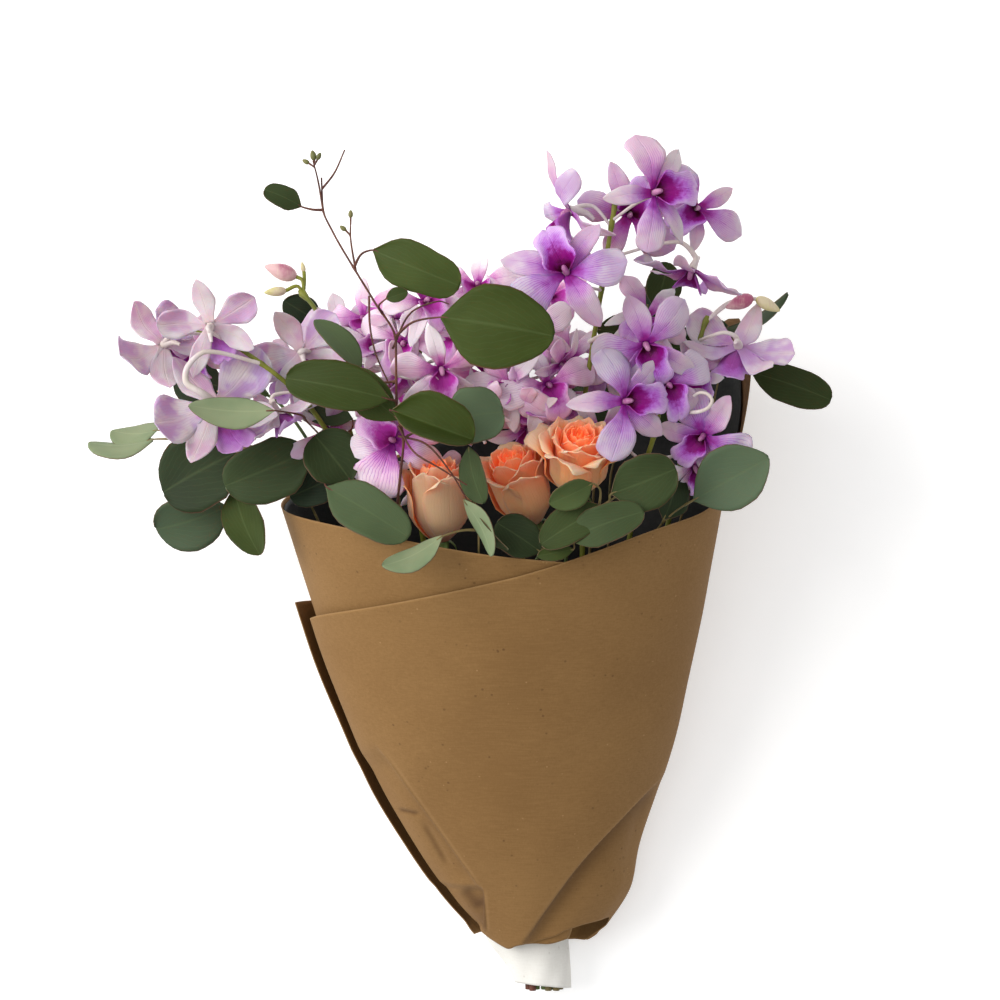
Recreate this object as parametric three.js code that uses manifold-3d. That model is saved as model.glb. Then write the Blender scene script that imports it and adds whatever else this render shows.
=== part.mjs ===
// A bouquet of orchids, roses and eucalyptus in kraft paper, lying on its back. Millimetres, +Z up, +Y towards
// the flowers, +X to the right as seen from above. The origin is on the resting face: the flat underside of the
// kraft sheet at the back.
import * as THREE from "three";
import { mergeVertices } from "three/addons/utils/BufferGeometryUtils.js";
import Module from "manifold-3d";

const wasm = await Module();
wasm.setup();
const { Manifold, Mesh } = wasm;

// Driving dimensions of the paper
const KRAFT = 0.8; // thickness of the kraft sheets
const LINER = 0.6; // thickness of the black liner
const LAYER_STEP = 1.8; // from the middle of one sheet to the middle of the next
const SPIRAL_STEP = 2.2; // what a full turn of the outer sheet moves it outwards
const WRAP_SIDES = [ // along, left side, right side
  [-154, 0, 61],
  [-143, -9, 69],
  [-111, -35, 88],
  [-87, -51, 92],
  [-45, -75, 105],
  [11, -99, 119],
  [70, -119, 131],
  [144, -142, 142],
  [190, -155, 155],
  [270, -170, 166],
];
const NECK = -140; // where the wrap is narrowest and its section is measured
const NECK_HALF_HEIGHT = 32.4;
const FLARE = 0.27; // growth of the half height for each mm along
const FLAT_SHARE = 0.85; // centre height over half height, so that the underside comes out flat
const ROW_SHARES = [0, 0.14, 0.34, 0.56, 0.79, 1]; // rows of a sheet, from its lower to its upper edge
const COLUMN_STEP = 11.75; // degrees between the columns of a sheet

// Driving dimensions of the flowers and stems
const BLADE = 0.7; // thickness of a leaf or an orchid petal
const ROSE_BLADE = 0.8;
const FINEST = 0.08; // detail smaller than this is dropped where pieces are fused
const PETIOLE_HALF_WIDTH = 0.9;
const DISC_RADIUS = 2.6; // of the small disc that a bloom's petals leave
const DISC_HALF_ANGLE = 18;
const COLUMN_HEIGHT = 3; // how far the middle of the disc stands forward
const SMALL_LEAF_WIDTH = 22;
const STEM_ACROSS = 4.6; // flat to flat of a stem in the bundle
const STEM_PITCH = 5.3;
const STEM_TIP_RADIUS = 1.1;
const BUNDLE_CENTRE = 30; // across
const BUNDLE_FLOOR = 10.2; // height of the lowest row of stems
const LOWEST_ROW = -2;
const BUNDLE_END = -184; // cut ends of the stems
const BUNDLE_TOP = -94; // from here the stems fan out
const TIE_AT = -102;
const SLEEVE_FROM = -182;
const SLEEVE_TO = -116;

const COLOURS = {
  kraft: [0.54, 0.4, 0.25],
  liner: [0.03, 0.04, 0.04],
  white_paper: [0.85, 0.84, 0.81],
  tie: [0.62, 0.5, 0.33],
  rose: [0.85, 0.48, 0.3],
  rose_green: [0.3, 0.36, 0.2],
  orchid: [0.72, 0.5, 0.74],
  eucalyptus: [0.31, 0.37, 0.22],
};

// Where every stem passes, and what it carries. A stem has a cell in the tied bundle, [column, row],
// then the points it passes from the wrap's mouth upwards. Points are [across, along, height] in mm.
const ROSES = [
  { name: "rose_left", cell: [-1, 2], stem: [[-37, 96, 152]], head: [-38, 140, 163], axis: [-0.05, 0.96, 0.27],
    size: 23, open: 0.35 },
  { name: "rose_middle", cell: [0, 2], stem: [[15, 92, 146]], head: [15, 149, 158], axis: [-0.32, 0.84, 0.44],
    size: 23, open: 0.55 },
  { name: "rose_right", cell: [1, 2], stem: [[40, 96, 152]], head: [48, 170, 176], axis: [0.08, 0.84, 0.53],
    size: 27, open: 1 },
  { name: "rose_bud", cell: [-1, 0], stem: [[-78, 100, 108], [-127, 192, 128]], head: [-163, 223, 122],
    axis: [-0.8, 0.5, 0.1], size: 13, open: 1, closed: true },
];

const SPRAYS = [
  { name: "orchid_right_tall", cell: [0.5, 1],
    stem: [[52, 100, 128], [53, 166, 136], [53, 202, 144], [58, 244, 156], [64, 284, 168], [69, 317, 170], [73, 339, 164]],
    blooms: [
      { at: [94, 334, 196], face: [0.3, 0.1, 0.95], lip: [1, 0.05, -0.2], size: 36 },
      { at: [123, 329, 160], face: [0.25, 0, 0.95], lip: [-0.83, -0.56, 0], size: 31 },
      { at: [40, 284, 214], face: [-0.15, 0.1, 0.98], lip: [-0.55, 0.84, 0], size: 38 },
      { at: [43, 329, 172], face: [-0.65, -0.55, 0.3], lip: [-0.5, -0.6, 0.2], size: 33 },
      { at: [81, 325, 158], face: [-0.1, -0.35, 0.9], lip: [0.45, 0.85, 0], size: 34 },
      { at: [117, 287, 168], face: [-0.2, -0.55, 0.7], lip: [-0.2, -1, -0.3], size: 32 },
    ], buds: [] },
  { name: "orchid_right_low", cell: [1.5, 1],
    stem: [[78, 100, 136], [88, 160, 148], [97, 191, 158], [101, 222, 160], [102, 253, 160], [108, 269, 155]],
    blooms: [
      { at: [73, 207, 200], face: [0.25, 0, 0.97], lip: [1, 0.1, 0], size: 38 },
      { at: [89, 242, 192], face: [0.1, -0.25, 0.95], lip: [0.35, -0.95, 0], size: 36 },
      { at: [103, 218, 184], face: [0.25, 0, 0.95], lip: [0.3, -0.95, 0], size: 31 },
      { at: [126, 187, 170], face: [-0.25, -0.3, 0.9], lip: [-0.7, -0.7, 0], size: 31 },
    ], buds: [] },
  { name: "orchid_far_right", cell: [2, 0],
    stem: [[100, 100, 112], [115, 173, 126], [118, 207, 136], [123, 235, 142], [129, 255, 144], [140, 271, 144]],
    blooms: [
      { at: [149, 243, 156], face: [-0.25, -0.6, -0.35], lip: [-0.3, -0.9, 0.3], size: 33 },
    ], buds: [{ at: [158, 271, 148], dir: [0.9, 0.1, 0], size: 12 }] },
  { name: "orchid_left", cell: [-1.5, 1],
    stem: [[-92, 100, 126], [-98, 166, 140], [-113, 197, 152], [-130, 217, 162], [-150, 233, 168], [-169, 245, 166], [-190, 252, 160]],
    blooms: [
      { at: [-210, 246, 158], face: [-0.45, -0.45, -0.6], lip: [0.6, -0.8, 0.2], size: 32 },
      { at: [-178, 254, 182], face: [0.1, 0.3, -0.9], lip: [0.1, -0.9, -0.2], size: 32 },
      { at: [-175, 212, 176], face: [-0.6, -0.5, 0.45], lip: [-0.1, -0.7, -0.7], size: 35 },
      { at: [-188, 239, 140], face: [0, -0.5, 0.8], lip: [0.1, -0.9, 0], size: 28 },
      { at: [-139, 202, 164], face: [0.15, -0.4, 0.85], lip: [0.5, -0.8, 0], size: 32 },
    ], buds: [] },
  { name: "orchid_upper_left", cell: [-1.5, -1],
    stem: [[-72, 100, 90], [-95, 186, 112], [-105, 224, 122], [-111, 252, 126], [-118, 269, 126], [-128, 281, 122]],
    blooms: [
      { at: [-124, 240, 152], face: [0.1, 0.1, -0.95], lip: [0.45, -0.9, 0], size: 33 },
      { at: [-100, 254, 128], face: [-0.2, 0.3, 0.9], lip: [0.2, -0.95, 0], size: 30 },
    ], buds: [
      { at: [-137, 292, 122], dir: [-0.9, 0.3, 0.1], size: 13 },
      { at: [-141, 280, 126], dir: [-0.9, -0.1, 0.2], size: 10 },
      { at: [-126, 295, 118], dir: [-0.2, 0.95, 0], size: 5 },
    ] },
  { name: "orchid_centre_left", cell: [0, 0],
    stem: [[-45, 100, 108], [-54, 166, 124], [-53, 210, 136], [-50, 248, 142], [-45, 273, 140]],
    blooms: [
      { at: [-66, 184, 172], face: [0, -0.1, 0.97], lip: [0.1, 1, 0], size: 33 },
      { at: [-36, 228, 176], face: [0.1, -0.35, 0.9], lip: [0.1, -1, 0], size: 33 },
      { at: [-60, 245, 156], face: [-0.1, 0.2, 0.95], lip: [-0.3, -0.9, 0], size: 31 },
      { at: [-46, 271, 160], face: [0.1, 0.4, 0.85], lip: [0.4, -0.8, 0], size: 31 },
    ], buds: [] },
  { name: "orchid_centre_right", cell: [1, 0],
    stem: [[15, 100, 104], [13, 166, 116], [14, 211, 126], [11, 249, 130], [3, 274, 128], [-5, 286, 124]],
    blooms: [
      { at: [30, 219, 160], face: [0.2, 0.1, 0.95], lip: [0.3, -0.9, 0], size: 31 },
      { at: [6, 219, 164], face: [-0.3, -0.2, 0.9], lip: [-0.7, -0.7, 0], size: 31 },
      { at: [-14, 283, 134], face: [-0.1, 0.5, 0.8], lip: [0, -0.9, 0.4], size: 31 },
      { at: [34, 246, 108], face: [0.2, 0.4, 0.85], lip: [0.6, -0.7, 0], size: 25 },
      { at: [19, 252, 158], face: [0, -0.2, 0.95], lip: [0.2, -0.9, 0], size: 31 },
    ], buds: [{ at: [8, 295, 122], dir: [0.1, 0.95, 0.1], size: 9 }] },
];

const BRANCHES = [
  { name: "eucalyptus_left_low", cell: [-2, 0],
    stem: [[-103, 100, 104], [-121, 142, 110], [-136, 167, 122], [-158, 181, 128], [-182, 187, 122], [-209, 186, 114]],
    leaves: [
      { base: [-164, 179, 128], tip: [-216, 152, 116], width: 50, roll: 10 },
      { base: [-175, 143, 108], tip: [-223, 128, 98], width: 38, roll: -20 },
      { base: [-119, 179, 132], tip: [-174, 156, 134], width: 40, roll: -8 },
      { base: [-169, 153, 146], tip: [-153, 112, 136], width: 32, roll: 35 },
      { base: [-223, 186, 112], tip: [-266, 184, 104], width: 34, roll: 72 },
      { base: [-221, 192, 108], tip: [-253, 192, 92], width: 30, roll: 60 },
      { base: [-176, 219, 118], tip: [-210, 226, 108], width: 30, roll: 5 },
    ] },
  { name: "eucalyptus_left_front", cell: [-2, 2],
    stem: [[-84, 100, 134], [-95, 129, 142], [-97, 159, 158], [-110, 184, 176], [-123, 199, 186]],
    leaves: [
      { base: [-92, 158, 160], tip: [-115, 187, 157], width: 36, roll: 12 },
      { base: [-107, 155, 176], tip: [-56, 124, 188], width: 31, roll: -10 },
      { base: [-136, 201, 208], tip: [-188, 206, 210], width: 28, roll: 40 },
    ] },
  { name: "eucalyptus_tall", cell: [-1.5, 3],
    stem: [[-64, 100, 156], [-64, 135, 168], [-61, 165, 182], [-59, 184, 190], [-63, 203, 196], [-63, 243, 206],
      [-76, 267, 210], [-87, 285, 210], [-101, 309, 209], [-107, 323, 208], [-108, 342, 206]],
    leaves: [
      { base: [-76, 290, 218], tip: [-24, 277, 224], width: 37, roll: 8 },
      { base: [-35, 256, 228], tip: [32, 244, 236], width: 50, roll: -6 },
      { base: [-120, 324, 210], tip: [-142, 334, 212], width: 15, roll: 20 },
      { base: [-67, 268, 216], tip: [-56, 270, 218], width: 8, roll: 0 },
      { base: [-67, 208, 206], tip: [-130, 221, 200], width: 30, roll: 10 },
      { base: [-62, 196, 194], tip: [-92, 226, 184], width: 26, roll: -20 },
      { base: [-85, 225, 186], tip: [-114, 257, 178], width: 28, roll: 50 },
      { base: [-65, 201, 208], tip: [-16, 183, 210], width: 40, roll: 0 },
      { base: [-34, 195, 194], tip: [2, 201, 188], width: 36, roll: -15 },
    ],
    twigs: [[[-107, 323, 208], [-110, 340, 208], [-113, 352, 208]], [[-107, 339, 207], [-100, 347, 207], [-94, 359, 205]],
      [[-87, 285, 210], [-90, 304, 212], [-90, 316, 212]]],
    buds: [
      { at: [-113, 356, 208], dir: [-0.2, 1, 0], size: 8 },
      { at: [-106, 352, 210], dir: [0.2, 1, 0.3], size: 6 },
      { at: [-117, 347, 206], dir: [-0.8, 0.6, 0], size: 6 },
      { at: [-90, 319, 212], dir: [0, 1, 0], size: 6 },
      { at: [-93, 312, 214], dir: [-0.6, 0.5, 0.4], size: 6 },
    ] },
  { name: "eucalyptus_front_left", cell: [0.5, 3],
    stem: [[-9, 100, 166], [-13, 112, 178], [-13, 130, 190], [-16, 147, 196]],
    leaves: [
      { base: [-19, 179, 196], tip: [-10, 145, 202], width: 22, roll: 40 },
      { base: [-22, 147, 200], tip: [-5, 113, 204], width: 18, roll: 55 },
      { base: [-16, 140, 196], tip: [5, 117, 200], width: 15, roll: 65 },
      { base: [-35, 125, 202], tip: [-71, 107, 208], width: 24, roll: 60 },
    ] },
  { name: "eucalyptus_front_right", cell: [1.5, 3],
    stem: [[30, 100, 168], [28, 119, 182], [40, 132, 190], [56, 140, 194], [74, 151, 194]],
    leaves: [
      { base: [25, 115, 182], tip: [-2, 133, 180], width: 26, roll: 10 },
      { base: [56, 157, 204], tip: [30, 145, 206], width: 18, roll: -15 },
      { base: [68, 151, 196], tip: [107, 166, 198], width: 34, roll: 5 },
      { base: [41, 123, 200], tip: [87, 140, 206], width: 25, roll: -20 },
      { base: [63, 143, 200], tip: [25, 120, 196], width: 24, roll: 15 },
      { base: [45, 117, 196], tip: [23, 113, 196], width: 10, roll: 0 },
    ] },
  { name: "eucalyptus_right", cell: [2, 2],
    stem: [[96, 100, 136], [97, 124, 149], [107, 138, 160], [118, 146, 166]],
    leaves: [
      { base: [120, 147, 170], tip: [165, 173, 184], width: 40, roll: -5 },
      { base: [102, 135, 160], tip: [111, 163, 150], width: 26, roll: 30 },
    ] },
  { name: "eucalyptus_right_upper", cell: [1.5, -1],
    stem: [[108, 100, 84], [125, 160, 92], [135, 192, 98], [140, 218, 102], [144, 236, 104], [149, 247, 106]],
    leaves: [
      { base: [162, 229, 112], tip: [212, 211, 118], width: 25, roll: -10 },
      { base: [134, 252, 114], tip: [185, 280, 112], width: 28, roll: 72 },
      { base: [132, 236, 100], tip: [145, 263, 98], width: 20, roll: 30 },
    ] },
  { name: "eucalyptus_top_back", cell: [0.5, -1],
    stem: [[58, 100, 72], [64, 180, 84], [79, 219, 92], [90, 251, 96], [96, 274, 98]],
    leaves: [
      { base: [62, 257, 108], tip: [96, 252, 104], width: 24, roll: 0 },
      { base: [100, 271, 104], tip: [109, 301, 98], width: 24, roll: 10 },
      { base: [91, 238, 92], tip: [127, 252, 86], width: 30, roll: 15 },
      { base: [73, 206, 88], tip: [110, 206, 84], width: 34, roll: -10 },
    ] },
  { name: "eucalyptus_back_left", cell: [-1, -2],
    stem: [[-60, 100, 40], [-70, 160, 44], [-84, 200, 50], [-104, 234, 58], [-121, 256, 70]],
    leaves: [
      { base: [-119, 264, 80], tip: [-141, 277, 90], width: 22, roll: 0 },
      { base: [-104, 222, 52], tip: [-142, 232, 64], width: 34, roll: 0 },
      { base: [-78, 208, 42], tip: [-44, 232, 30], width: 34, roll: 0 },
    ] },
  { name: "eucalyptus_back_right", cell: [1, -2],
    stem: [[72, 100, 40], [74, 160, 42], [88, 200, 46], [104, 230, 54], [112, 256, 60]],
    leaves: [
      { base: [110, 252, 58], tip: [92, 288, 50], width: 32, roll: 0 },
      { base: [110, 228, 56], tip: [144, 240, 70], width: 34, roll: 0 },
      { base: [88, 206, 42], tip: [50, 224, 26], width: 34, roll: 0 },
    ] },
];

// Vectors
const vec = (list) => new THREE.Vector3(...list);
const along = (from, direction, distance) => from.clone().addScaledVector(direction, distance);
const between = (from, to, share) => from.clone().lerp(to, share);
const radians = THREE.MathUtils.degToRad;

// The part of `list` that is square to the unit vector `axis`, as a unit vector.
function squareTo(list, axis) {
  const v = list.isVector3 ? list.clone() : vec(list);
  return v.addScaledVector(axis, -v.dot(axis)).normalize();
}

// The value at `at` on a line through [place, value...] rows.
function onTable(rows, at, column = 1) {
  let i = 1;
  while (i < rows.length - 1 && rows[i][0] < at) i += 1;
  const [a, b] = [rows[i - 1], rows[i]];
  const share = THREE.MathUtils.clamp((at - a[0]) / (b[0] - a[0]), 0, 1);
  return a[column] + (b[column] - a[column]) * share;
}

// Solids
function solidOf(vertices, triangles) {
  const positions = new Float32Array(vertices.flatMap((v) => [v.x, v.y, v.z]));
  const geometry = new THREE.BufferGeometry()
    .setAttribute("position", new THREE.BufferAttribute(positions, 3))
    .setIndex(triangles.flat());
  const merged = mergeVertices(geometry, 1e-4);
  return new Manifold(
    new Mesh({
      numProp: 3,
      vertProperties: merged.attributes.position.array,
      triVerts: new Uint32Array(merged.index.array),
    }),
  );
}

// The skin of a blade: the surface given by points and triangles, with half the thickness on each side of it.
// Its back vertices follow its front ones, in the same order.
function skin(points, faces, thickness) {
  const normals = points.map(() => new THREE.Vector3());
  for (const [a, b, c] of faces) {
    const ab = points[b].clone().sub(points[a]);
    const ac = points[c].clone().sub(points[a]);
    const n = ab.cross(ac);
    for (const i of [a, b, c]) normals[i].add(n);
  }
  normals.forEach((n) => n.normalize());
  const count = points.length;
  const front = points.map((p, i) => along(p, normals[i], thickness / 2));
  const back = points.map((p, i) => along(p, normals[i], -thickness / 2));
  const edges = new Set(faces.flatMap(([a, b, c]) => [`${a}_${b}`, `${b}_${c}`, `${c}_${a}`]));
  const triangles = [];
  for (const [a, b, c] of faces) {
    triangles.push([a, b, c], [a + count, c + count, b + count]);
    for (const [from, to] of [[a, b], [b, c], [c, a]]) {
      if (edges.has(`${to}_${from}`)) continue;
      triangles.push([to, from, from + count], [to, from + count, to + count]);
    }
  }
  return [[...front, ...back], triangles];
}

const thicken = (points, faces, thickness) => solidOf(...skin(points, faces, thickness));

// Triangles between two rows of points, each row given by the numbers of its points.
function zip(low, high) {
  const faces = [];
  let [i, j] = [0, 0];
  while (i < low.length - 1 || j < high.length - 1) {
    const lowNext = i < low.length - 1 ? (i + 1) / (low.length - 1) : 2;
    const highNext = j < high.length - 1 ? (j + 1) / (high.length - 1) : 2;
    if (lowNext <= highNext) {
      faces.push([low[i], high[j], low[i + 1]]);
      i += 1;
    } else {
      faces.push([low[i], high[j], high[j + 1]]);
      j += 1;
    }
  }
  return faces;
}

// A blade over rows of points.
function blade(rows, thickness) {
  const points = [];
  const numbered = rows.map((row) => row.map((p) => points.push(p) - 1));
  const faces = numbered.slice(1).flatMap((row, i) => zip(numbered[i], row));
  return thicken(points, faces, thickness);
}

// A closed pipe through the points, with one radius (to a corner of its section) for each. Its first `square`
// bends keep the heading of the stretch before them.
function pipe(points, radii, sides, square = 0) {
  const rings = [];
  let across = null;
  points.forEach((p, i) => {
    const before = points[Math.max(0, i - 1)];
    const after = i > 0 && i <= square ? p : points[Math.min(points.length - 1, i + 1)];
    const heading = after.clone().sub(before).normalize();
    across = squareTo(across ?? [0, 0, 1], heading);
    const beside = heading.clone().cross(across);
    for (let k = 0; k < sides; k += 1) {
      const turn = (2 * Math.PI * k) / sides;
      rings.push(along(along(p, across, radii[i] * Math.cos(turn)), beside, radii[i] * Math.sin(turn)));
    }
  });
  const triangles = [];
  const last = (points.length - 1) * sides;
  for (let k = 0; k < sides; k += 1) {
    const next = (k + 1) % sides;
    for (let ring = 0; ring < last; ring += sides) {
      triangles.push([ring + k, ring + next, ring + sides + next]);
      triangles.push([ring + k, ring + sides + next, ring + sides + k]);
    }
    if (k > 1) {
      triangles.push([0, k, k - 1]);
      triangles.push([last, last + k - 1, last + k]);
    }
  }
  return solidOf(rings, triangles);
}

// The largest body of the union of solids.
function fused(solids) {
  const bodies = Manifold.union(solids).simplify(FINEST).decompose();
  return bodies.reduce((a, b) => (b.volume() > a.volume() ? b : a));
}

function meshOf(name, solid, [red, green, blue], roughness) {
  const made = solid.getMesh();
  const positions = new Float32Array(made.numVert * 3);
  for (let i = 0; i < made.numVert; i += 1) {
    const start = i * made.numProp;
    positions.set(made.vertProperties.subarray(start, start + 3), i * 3);
  }
  const geometry = new THREE.BufferGeometry()
    .setAttribute("position", new THREE.BufferAttribute(positions, 3))
    .setIndex(new THREE.BufferAttribute(made.triVerts, 1));
  geometry.computeVertexNormals();
  const colour = new THREE.Color().setRGB(red, green, blue, THREE.SRGBColorSpace);
  const material = new THREE.MeshStandardMaterial({ color: colour, roughness, metalness: 0 });
  const mesh = new THREE.Mesh(geometry, material);
  mesh.name = name;
  return mesh;
}

// Paper
const OUTER_TOP = [ // turn in degrees, where the upper edge of the outer sheet is along the bouquet
  [60, 106], [90, 112], [135, 130], [180, 144], [225, 165], [270, 203], [315, 245], [338, 268],
  [352, 235], [366, 165], [378, 145], [408, 128], [450, 98], [490, 80], [530, 70],
];
const OUTER_BOTTOM = [
  [60, -148], [90, -150], [180, -142], [270, -150], [360, -140], [450, -152], [530, -136],
];
const FLAP_LIFT = [[60, 0], [430, 0], [480, 1.2], [530, 3.4]]; // how far the free flap springs off the roll
const FIN_LIFT = [[177.5, 9.5], [195, 5], [215, 1.2], [240, 0], [345, 0]]; // the same for the back sheet's fin
const BACK_TOP = 80; // upper edge of the back sheet

function wrapPoint(turn, at, off, floor) {
  const left = onTable(WRAP_SIDES, at, 1);
  const right = onTable(WRAP_SIDES, at, 2);
  const halfHeight = NECK_HALF_HEIGHT + (at - NECK) * FLARE;
  const x = (left + right) / 2 + ((right - left) / 2 + off) * Math.cos(radians(turn));
  const z = FLAT_SHARE * halfHeight + (halfHeight + off) * Math.sin(radians(turn));
  return new THREE.Vector3(x, at, Math.max(floor, z));
}

// Where the middle of the outer sheet is, measured outwards from the wrap's plain section.
const spiral = (turn) => (SPIRAL_STEP * (turn - 60)) / 360;

function sheet(from, to, off, floor, thickness, trim = 0) {
  const columns = Math.round((to - from) / COLUMN_STEP);
  const rows = ROW_SHARES.map((share) => {
    const row = [];
    for (let i = 0; i <= columns; i += 1) {
      const turn = from + ((to - from) * i) / columns;
      const bottom = onTable(OUTER_BOTTOM, turn);
      const top = onTable(OUTER_TOP, turn) - trim;
      row.push(wrapPoint(turn, bottom + (top - bottom) * share, off(turn), floor));
    }
    return row;
  });
  return blade(rows, thickness);
}

const outerSheet = () =>
  sheet(60, 530, (turn) => spiral(turn) + onTable(FLAP_LIFT, turn), KRAFT * 2, KRAFT);

const liner = () => sheet(60, 412.5, (turn) => spiral(turn) - LAYER_STEP, KRAFT * 2 + 1.2, LINER, 1.5);

function backSheet() {
  const whole = sheet(
    177.5, 342, (turn) => spiral(turn) + LAYER_STEP + onTable(FIN_LIFT, turn), KRAFT / 2, KRAFT,
  );
  return whole.trimByPlane([0, -1, 0], -BACK_TOP);
}

// The stems lie in a honeycomb. Its rows are stacked in height, and every other row is moved by half a stem.
function cellCentre([column, row]) {
  const height = BUNDLE_FLOOR + (row - LOWEST_ROW) * STEM_PITCH * Math.sin(radians(60));
  return [BUNDLE_CENTRE + column * STEM_PITCH, height];
}
const BUNDLE_HEIGHT = (cellCentre([0, 3])[1] + BUNDLE_FLOOR) / 2;
const BUNDLE_RADIUS = 16.7;

// A ring round the bundle, as a lathe profile turned about the bouquet's length.
function ringRoundBundle(from, to, inner, thickness, endGrowth, sides) {
  const profile = [
    [inner, from], [inner + thickness, from], [inner + thickness + endGrowth, to], [inner + endGrowth, to],
    [inner, from],
  ].map(([r, y]) => new THREE.Vector2(r, y));
  const geometry = new THREE.LatheGeometry(profile, sides);
  geometry.deleteAttribute("uv");
  geometry.deleteAttribute("normal");
  geometry.rotateY(Math.PI / sides);
  geometry.translate(BUNDLE_CENTRE, 0, BUNDLE_HEIGHT);
  const merged = mergeVertices(geometry, 1e-3);
  const made = new Manifold(
    new Mesh({
      numProp: 3,
      vertProperties: merged.attributes.position.array,
      triVerts: new Uint32Array(merged.index.array),
    }),
  );
  return made;
}

// Stems
function stemPoints({ cell, stem }) {
  const [x, z] = cellCentre(cell);
  return [[x, BUNDLE_END, z], [x, BUNDLE_TOP, z], ...stem].map(vec);
}

function stemPipe(plant, sides = 6) {
  const points = stemPoints(plant);
  const corner = STEM_ACROSS / Math.sqrt(3);
  const radii = points.map((_, i) => {
    if (i < 2) return corner;
    const share = (i - 1) / (points.length - 2);
    return corner + (STEM_TIP_RADIUS - corner) * Math.sqrt(share);
  });
  return pipe(points, radii, sides, 1);
}

// The point of a stem, above the wrap's mouth, that is nearest to a place, moved back by `behind` along the stem.
function nearestOn(points, place, behind) {
  let best = null;
  for (let i = 3; i < points.length; i += 1) {
    for (let k = 0; k <= 8; k += 1) {
      const at = between(points[i - 1], points[i], k / 8);
      const distance = at.distanceTo(place);
      if (!best || distance < best.distance) best = { at, distance, i };
    }
  }
  const back = points[best.i - 1].clone().sub(points[best.i]).normalize();
  const room = best.at.distanceTo(points[best.i - 1]);
  return along(best.at, back, Math.min(behind, room));
}

// Triangles of the band between two closed loops that turn the same way, seen from the first one's side.
function band(near, far) {
  const triangles = [];
  let [i, j] = [0, 0];
  while (i < near.length || j < far.length) {
    const [a, b] = [near[i % near.length], far[j % far.length]];
    if ((i + 1) / near.length <= (j + 1) / far.length) {
      i += 1;
      triangles.push([near[i % near.length], a, b]);
    } else {
      j += 1;
      triangles.push([b, far[j % far.length], a]);
    }
  }
  return triangles;
}

// A bloom: its limbs leave a small disc at the centre, in order of their turn about `front` from `down`, and the
// back of the disc runs on into the stalk. A limb's widths are [share of length, share of half width, points].
function whorl(centre, front, down, limbs, stalk, stalkRadii) {
  const side = front.clone().cross(down);
  const out = (turn) =>
    down.clone().multiplyScalar(Math.cos(radians(turn))).addScaledVector(side, Math.sin(radians(turn)));
  const points = [along(centre, front, COLUMN_HEIGHT)];
  const number = (p) => points.push(p) - 1;
  const roots = limbs.map(({ turn }) =>
    [turn - DISC_HALF_ANGLE, turn + DISC_HALF_ANGLE].map((a) => number(along(centre, out(a), DISC_RADIUS))),
  );
  const faces = [];
  limbs.forEach(({ turn, length, halfWidth, widths, rise, tip, edges }, i) => {
    const way = out(turn);
    const across = front.clone().cross(way);
    const place = (share, width, lift) =>
      number(along(along(along(centre, way, length * share), across, width), front, length * lift));
    const rows = widths.map(([share, width, count]) => {
      const spread = count === 2 ? [-1, 1] : [-1, 0, 1];
      return spread.map((t) => place(share, halfWidth * width * t, rise - edges * Math.abs(t)));
    });
    const chain = [roots[i], ...rows, [place(1, 0, tip)]];
    faces.push([0, roots[i][0], roots[i][1]], [0, roots[i][1], roots[(i + 1) % limbs.length][0]]);
    chain.slice(1).forEach((row, k) => faces.push(...zip(chain[k], row)));
  });
  const [vertices, skinned] = skin(points, faces, BLADE);
  const backOfCentre = points.length;
  const triangles = skinned.filter((triangle) => !triangle.includes(backOfCentre));
  let loop = roots.flat().map((i) => i + points.length);
  let across = down;
  stalk.forEach((p, i) => {
    const ahead = stalk[Math.max(0, i - 1)];
    const behind = stalk[Math.min(stalk.length - 1, i + 1)];
    const heading = i === 0 ? front : ahead.clone().sub(behind).normalize();
    across = squareTo(across, heading);
    const beside = heading.clone().cross(across);
    const ring = [[1, 0], [0, 1], [-1, 0], [0, -1]].map(([c, s]) =>
      vertices.push(along(along(p, across, c * stalkRadii[i]), beside, s * stalkRadii[i])) - 1,
    );
    triangles.push(...band(loop, ring));
    loop = ring;
  });
  triangles.push([loop[0], loop[3], loop[2]], [loop[0], loop[2], loop[1]]);
  vertices[backOfCentre] = vertices[0];
  return solidOf(vertices, triangles);
}

const SEPAL = { length: 0.94, halfWidth: 0.27, widths: [[0.5, 1, 2]], rise: -0.02, tip: -0.1, edges: 0 };
const PETAL = {
  length: 1, halfWidth: 0.43, widths: [[0.42, 0.8, 3], [0.78, 1, 3]], rise: 0.14, tip: 0.04, edges: 0.05,
};
const LIP = {
  length: 0.66, halfWidth: 0.21, widths: [[0.3, 0.9, 3], [0.75, 1, 3]], rise: 0.34, tip: 0.18, edges: -0.15,
};
const LIMBS = [[0, LIP], [48, SEPAL], [106, PETAL], [180, SEPAL], [254, PETAL], [312, SEPAL]];

// A bloom on its own little stalk from the spray's stem.
function bloom({ at, face, lip, size }, stem) {
  const centre = vec(at);
  const front = vec(face).normalize();
  const down = squareTo(lip, front);
  const back = along(centre, front, -size * 0.2);
  const from = nearestOn(stem, back, 6);
  const bend = along(back, front, -0.35 * from.distanceTo(back));
  const halfWay = between(between(from, bend, 0.5), between(bend, back, 0.5), 0.5);
  const stalk = [along(centre, front, -BLADE * 2), back, halfWay, from];
  const limbs = LIMBS.map(([turn, limb]) => ({
    ...limb, turn, length: limb.length * size, halfWidth: limb.halfWidth * size,
  }));
  return whorl(centre, front, down, limbs, stalk, [1.9, 1.6, 1, 1]);
}

// A closed bud: a short pipe that swells and closes again.
function bud(at, heading, length, sides = 4) {
  const base = vec(at);
  const way = vec(heading).normalize();
  const points = [0, 0.35, 0.75, 1].map((share) => along(base, way, length * share));
  return pipe(points, [length * 0.1, length * 0.3, length * 0.26, length * 0.06], sides);
}

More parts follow.
